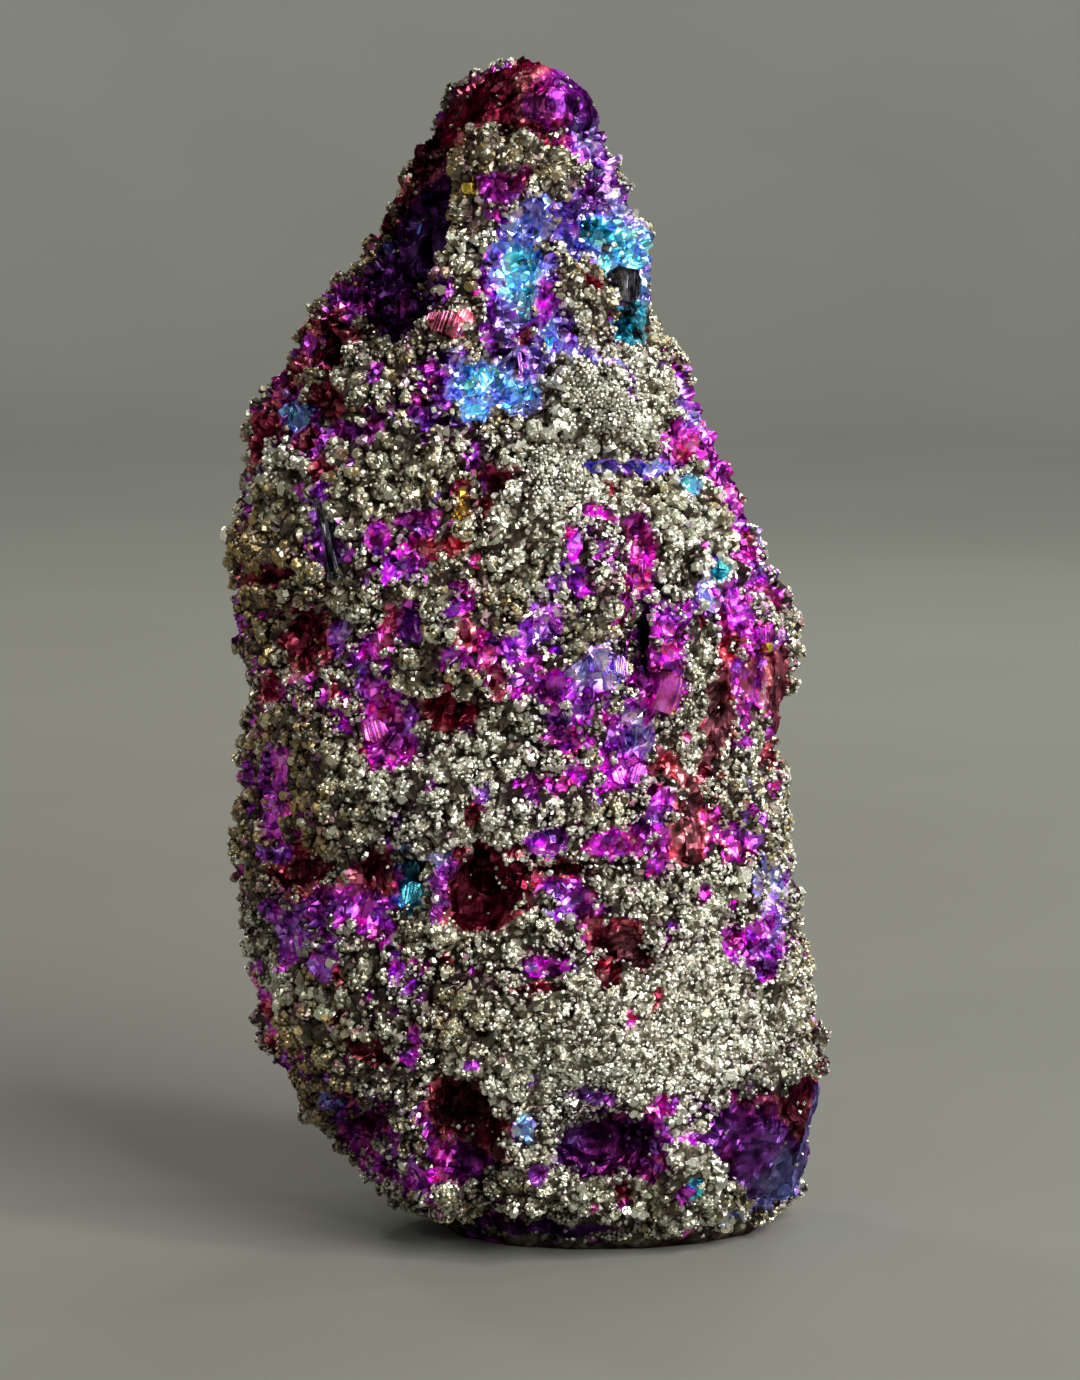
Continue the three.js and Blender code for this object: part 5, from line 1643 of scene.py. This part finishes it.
def pyrite_material(colours):
    """Pyrite grains, each of its own shade, browner and paler in patches that are partly painted
    shade and light, with a blush of tarnish that is partly painted reflection, and darkened by
    painted shade in creases and in the shaded ovals.
    """
    nodes = Nodes("pyrite")
    drift = nodes.map_range(nodes.clouds(3.0 * MM, 2), 0.3, 0.7, -0.25, 0.25)
    tone = nodes.plus(nodes.value("chance"), nodes.times(nodes.value("tone"), 0.75))
    shade = nodes.ramp(nodes.plus(tone, drift), [
        (0.0, tuple(colours.pyrite_brown)), (0.4, tuple(colours.pyrite_brass)),
        (0.65, tuple(colours.pyrite_brass)), (1.0, tuple(colours.pyrite_pale))])
    lot = nodes.value("chance_two")
    # A blush of tarnish colour on a few grains where the crust is open: partly tarnish on the pyrite,
    # partly painted reflection of the tarnished ore beside it.
    blushing = nodes.minus(lot, nodes.times(nodes.value("closed"), 0.4))
    blush = film_colour(nodes, colours, nodes.value("film"))
    tinged = nodes.mix(nodes.map_range(blushing, 0.80, 1.0, 0, 0.5), shade, blush)
    # Painted shade on the grains: darker in the shaded ovals and creases, lighter on the tops.
    shade_on_grains = nodes.times(nodes.between(nodes.value("gloom"), 1, 0.3),
                       nodes.map_range(nodes.value("raised"), 0.3, 0.9, 0.55, 1.2))
    return nodes.finish({
        "Base Color": nodes.brighten(tinged, shade_on_grains),
        "Metallic": 1.0,
        "Roughness": nodes.map_range(lot, 0, 0.5, *PYRITE_ROUGHNESS),
        "Normal": crumble(nodes, 0.12 * MM, 0.045 * MM)})


def quartz_material(colours):
    """Clear quartz with faint veils."""
    nodes = Nodes("quartz")
    return nodes.finish({
        "Base Color": (*colours.quartz, 1),
        "Roughness": nodes.map_range(nodes.clouds(0.5 * MM, 3), 0.3, 0.7, *QUARTZ_ROUGHNESS),
        "Transmission Weight": 1.0,
        "IOR": 1.54})


def finish_piece(piece, material):
    """Gives a piece its material, the body that it rides on and the slot of its material."""
    piece.data.materials.clear()
    piece.data.materials.append(material)
    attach(piece, "root")


class ORE_OT_ground(bpy.types.Operator):
    """Makes the tarnished ore itself, with its clumps, windows and facets"""

    bl_idname = "peacock_ore.ground"
    bl_label = "Tarnished Ore"

    def execute(self, context):
        piece = stone_copy(context.scene.ore_sizes)
        shape_ground(piece, context.scene.ore_sizes)
        map_round(piece)
        choose(piece)
        bpy.ops.object.shade_flat()
        finish_piece(piece, ore_material(context.scene.ore_colours))
        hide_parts(STONE)
        return {"FINISHED"}


class ORE_OT_druse(bpy.types.Operator):
    """Sows the pyrite grains of the crust: coarse, fine, and dust over both"""

    bl_idname = "peacock_ore.druse"
    bl_label = "Pyrite Druse"

    def execute(self, context):
        ground = bpy.data.objects[ORE]
        forms = {"fine_forms": collect("fine_forms", fine_forms()),
                 "coarse_forms": collect("coarse_forms", coarse_forms())}
        material = pyrite_material(context.scene.ore_colours)
        for name, kind, mask, grain, *how in SOWN:
            size = getattr(context.scene.grain_sizes, grain)
            piece = scatter(name, ground, forms[kind], mask, size, *how)
            finish_piece(piece, material)
        for group in forms.values():
            discard(group)
        return {"FINISHED"}


class ORE_OT_crystals(bpy.types.Operator):
    """Sows the tarnished crystals that stand in the windows"""

    bl_idname = "peacock_ore.crystals"
    bl_label = "Tarnished Crystals"

    def execute(self, context):
        mask, grain, *how = CRYSTALS_SOWN
        size = getattr(context.scene.grain_sizes, grain)
        forms = collect("crystal_forms", crystal_forms())
        piece = scatter("tarnished_crystals", bpy.data.objects[ORE], forms, mask, size, *how)
        discard(forms)
        finish_piece(piece, crystal_material(context.scene.ore_colours))
        return {"FINISHED"}


class ORE_OT_blades(bpy.types.Operator):
    """Stands the larger tarnished crystals in their windows"""

    bl_idname = "peacock_ore.blades"
    bl_label = "Tarnished Blades"

    def execute(self, context):
        piece = plant("tarnished_blades", BLADES, BLADE_SINK)
        finish_piece(piece, blade_material(context.scene.ore_colours))
        return {"FINISHED"}


class ORE_OT_charcoal(bpy.types.Operator):
    """Stands the two charcoal crystals proud of the crust"""

    bl_idname = "peacock_ore.charcoal"
    bl_label = "Charcoal Crystals"

    def execute(self, context):
        piece = plant("charcoal_crystals", CHARCOAL, CHARCOAL_SINK)
        finish_piece(piece, blade_material(context.scene.ore_colours))
        return {"FINISHED"}


class ORE_OT_nuggets(bpy.types.Operator):
    """Stands the larger pyrite crystals on the crust"""

    bl_idname = "peacock_ore.nuggets"
    bl_label = "Pyrite Nuggets"

    def execute(self, context):
        piece = plant("pyrite_nuggets", NUGGETS, NUGGET_SINK)
        finish_piece(piece, pyrite_material(context.scene.ore_colours))
        return {"FINISHED"}


class ORE_OT_quartz(bpy.types.Operator):
    """Stands the one clear quartz crystal beside the pale lump"""

    bl_idname = "peacock_ore.quartz"
    bl_label = "Quartz Crystal"

    def execute(self, context):
        piece = plant("quartz_crystal", QUARTZ, QUARTZ_SINK)
        finish_piece(piece, quartz_material(context.scene.ore_colours))
        return {"FINISHED"}


# Stage, in millimetres from the stone's foot.
LIGHTS = (
    # place, width, height, radiance, colour
    ((230, -250, 260), 280, 280, 8.6, (1.0, 0.99, 0.98)),  # the window that lights the stone
    ((-60, -280, 300), 160, 120, 1.5, (1.0, 0.97, 0.93)),
    ((-300, -120, 60), 160, 260, 0.3, (1.0, 0.84, 0.66)),  # warm wall on the left
    ((120, 240, 260), 260, 200, 2.4, (1.0, 0.98, 0.96)),
    ((-220, 240, 200), 200, 200, 1.2, (1.0, 0.96, 0.92)),
    ((90, -240, 150), 24, 24, 60, (1.0, 1.0, 1.0)),  # this and the rest: lamps that make glints
    ((170, -120, 260), 28, 28, 60, (1.0, 0.98, 0.95)),
    ((-130, -200, 230), 22, 22, 40, (1.0, 0.97, 0.92)),
    ((230, 60, 120), 24, 24, 50, (0.96, 0.98, 1.0)),
    ((-150, 180, 200), 26, 26, 45, (1.0, 0.97, 0.94)),
    ((80, 250, 120), 22, 22, 45, (1.0, 1.0, 1.0)),
)
WORLD_GREY = 0.03  # radiance of the room all round
BOWL_FLAT = 420  # radius of the level floor
BOWL_CURVE = 120  # radius of the sweep from the floor to the wall
BOWL_STEPS = 12  # rings in that sweep
BOWL_TOP = 200  # height of the wall
BOWL_COLOUR = (0.203, 0.206, 0.180)
WALL_GLOW = 0.160  # radiance of the wall, so that it is as light as the floor
GLOW_GROWS = (100, 600)  # distances from the foot where the glow begins and is full


def select_rim(piece, radius, height):
    """Selects, in edit mode, only the ring of points that the sweep has reached."""
    bpy.ops.mesh.select_all(action="DESELECT")
    bpy.ops.object.mode_set(mode="OBJECT")
    for vertex in piece.data.vertices:
        vertex.select = (math.hypot(vertex.co.x, vertex.co.y) > radius
                         and vertex.co.z > height - 0.01 * MM)
    for line in piece.data.edges:
        line.select = all(piece.data.vertices[end].select for end in line.vertices)
    bpy.ops.object.mode_set(mode="EDIT")


def sweep_floor():
    """A round floor that turns up into a wall in one sweep, open at the top."""
    profile = [(BOWL_FLAT / 2, 0), (BOWL_FLAT, 0)]
    for step in range(1, BOWL_STEPS + 1):
        turn = math.radians(90 * step / BOWL_STEPS)
        profile.append((BOWL_FLAT + BOWL_CURVE * math.sin(turn),
                        BOWL_CURVE * (1 - math.cos(turn))))
    profile.append((BOWL_FLAT + BOWL_CURVE, BOWL_TOP))
    deselect()
    bpy.ops.mesh.primitive_circle_add(vertices=96, radius=profile[0][0] * MM, fill_type="TRIFAN")
    floor = bpy.context.object
    with edit_mode():
        for inner, outer in zip(profile, profile[1:]):
            select_rim(floor, inner[0] * MM * 0.999, inner[1] * MM)
            bpy.ops.mesh.extrude_edges_move(
                TRANSFORM_OT_translate={"value": (0, 0, (outer[1] - inner[1]) * MM)})
            grow = outer[0] / inner[0]
            bpy.ops.transform.resize(value=(grow, grow, 1))
        bpy.ops.mesh.select_all(action="SELECT")
        bpy.ops.mesh.normals_make_consistent(inside=True)
    bpy.ops.object.shade_smooth()
    floor.name = "floor"
    return floor


def floor_material():
    """Matt grey-olive card with a faint mottle; the wall glows as light as the lit floor."""
    nodes = Nodes("floor_card")
    mottle = nodes.map_range(nodes.clouds(30 * MM, 4), 0.3, 0.7, 0.97, 1.02)
    shade = nodes.brighten((*BOWL_COLOUR, 1), mottle)
    reach = nodes.add("ShaderNodeVectorMath", {0: nodes.place()}, operation="LENGTH")
    glow = nodes.map_range(
        reach.outputs["Value"], *scaled(GLOW_GROWS), 0, WALL_GLOW / BOWL_COLOUR[0])
    return nodes.finish({
        "Base Color": shade, "Roughness": 0.9, "Specular IOR Level": 0.1,
        "Emission Color": shade, "Emission Strength": glow})


def aimed(name, data, place, view):
    """A light or camera at a place, turned to look along a view."""
    thing = bpy.data.objects.new(name, data)
    thing.location = place
    thing.rotation_euler = view.to_track_quat("-Z", "Y").to_euler()
    bpy.context.scene.collection.objects.link(thing)
    return thing


class ORE_OT_stage(bpy.types.Operator):
    """Sets up the floor, the backdrop, the lights and the camera"""

    bl_idname = "peacock_ore.stage"
    bl_label = "Stage"

    def execute(self, context):
        floor = sweep_floor()
        floor.data.materials.append(floor_material())
        aim = Vector(AIM) * MM
        for number, (place, wide, high, radiance, colour) in enumerate(LIGHTS):
            lamp = bpy.data.lights.new(f"softbox_{number}", "AREA")
            lamp.shape, lamp.size, lamp.size_y = "RECTANGLE", wide * MM, high * MM
            lamp.energy, lamp.color = radiance * math.pi * wide * high * MM ** 2, colour
            aimed(lamp.name, lamp, Vector(place) * MM, aim - Vector(place) * MM)
        world = bpy.data.worlds.new("studio")
        world.use_nodes = True
        background = world.node_tree.nodes["Background"]
        background.inputs["Color"].default_value = (WORLD_GREY, WORLD_GREY, WORLD_GREY, 1)
        context.scene.world = world
        context.scene.view_settings.view_transform = "Standard"
        eye = bpy.data.cameras.new("camera")
        eye.sensor_fit, eye.sensor_height = "VERTICAL", SENSOR_HEIGHT
        eye.lens = SENSOR_HEIGHT * CAMERA_DISTANCE / FRAME_HEIGHT
        eye.clip_start, eye.clip_end = 10 * MM, 10
        rise = math.radians(CAMERA_RISE)
        away = Vector((0, -math.cos(rise), math.sin(rise))) * CAMERA_DISTANCE * MM
        context.scene.camera = aimed("camera", eye, aim + away, -away)
        return {"FINISHED"}


STEPS = (ORE_OT_ground, ORE_OT_druse, ORE_OT_crystals, ORE_OT_blades, ORE_OT_charcoal,
         ORE_OT_nuggets, ORE_OT_quartz, ORE_OT_stage)
GROUPS = {"ore_sizes": OreSizes, "grain_sizes": GrainSizes, "ore_colours": OreColours}


class ORE_PT_panel(bpy.types.Panel):
    """The sizes, the colours and the steps of the build"""

    bl_label = "Peacock Ore"
    bl_idname = "ORE_PT_panel"
    bl_space_type = "VIEW_3D"
    bl_region_type = "UI"
    bl_category = "Peacock Ore"

    def draw(self, context):
        for operator in STEPS:
            self.layout.operator(operator.bl_idname)
        for name in GROUPS:
            group, box = getattr(context.scene, name), self.layout.box()
            for key in group.__annotations__:
                box.prop(group, key)


def register():
    for group in GROUPS.values():
        bpy.utils.register_class(group)
    for name, group in GROUPS.items():
        setattr(bpy.types.Scene, name, bpy.props.PointerProperty(type=group))
    for step in (*STEPS, ORE_PT_panel):
        bpy.utils.register_class(step)


def unregister():
    for step in reversed((*STEPS, ORE_PT_panel)):
        bpy.utils.unregister_class(step)
    for name in GROUPS:
        delattr(bpy.types.Scene, name)
    for group in reversed(tuple(GROUPS.values())):
        bpy.utils.unregister_class(group)


def main():
    register()
    bpy.ops.peacock_ore.ground()
    bpy.ops.peacock_ore.druse()
    bpy.ops.peacock_ore.crystals()
    bpy.ops.peacock_ore.blades()
    bpy.ops.peacock_ore.charcoal()
    bpy.ops.peacock_ore.nuggets()
    bpy.ops.peacock_ore.quartz()
    bpy.ops.peacock_ore.stage()


if __name__ == "__main__":
    main()
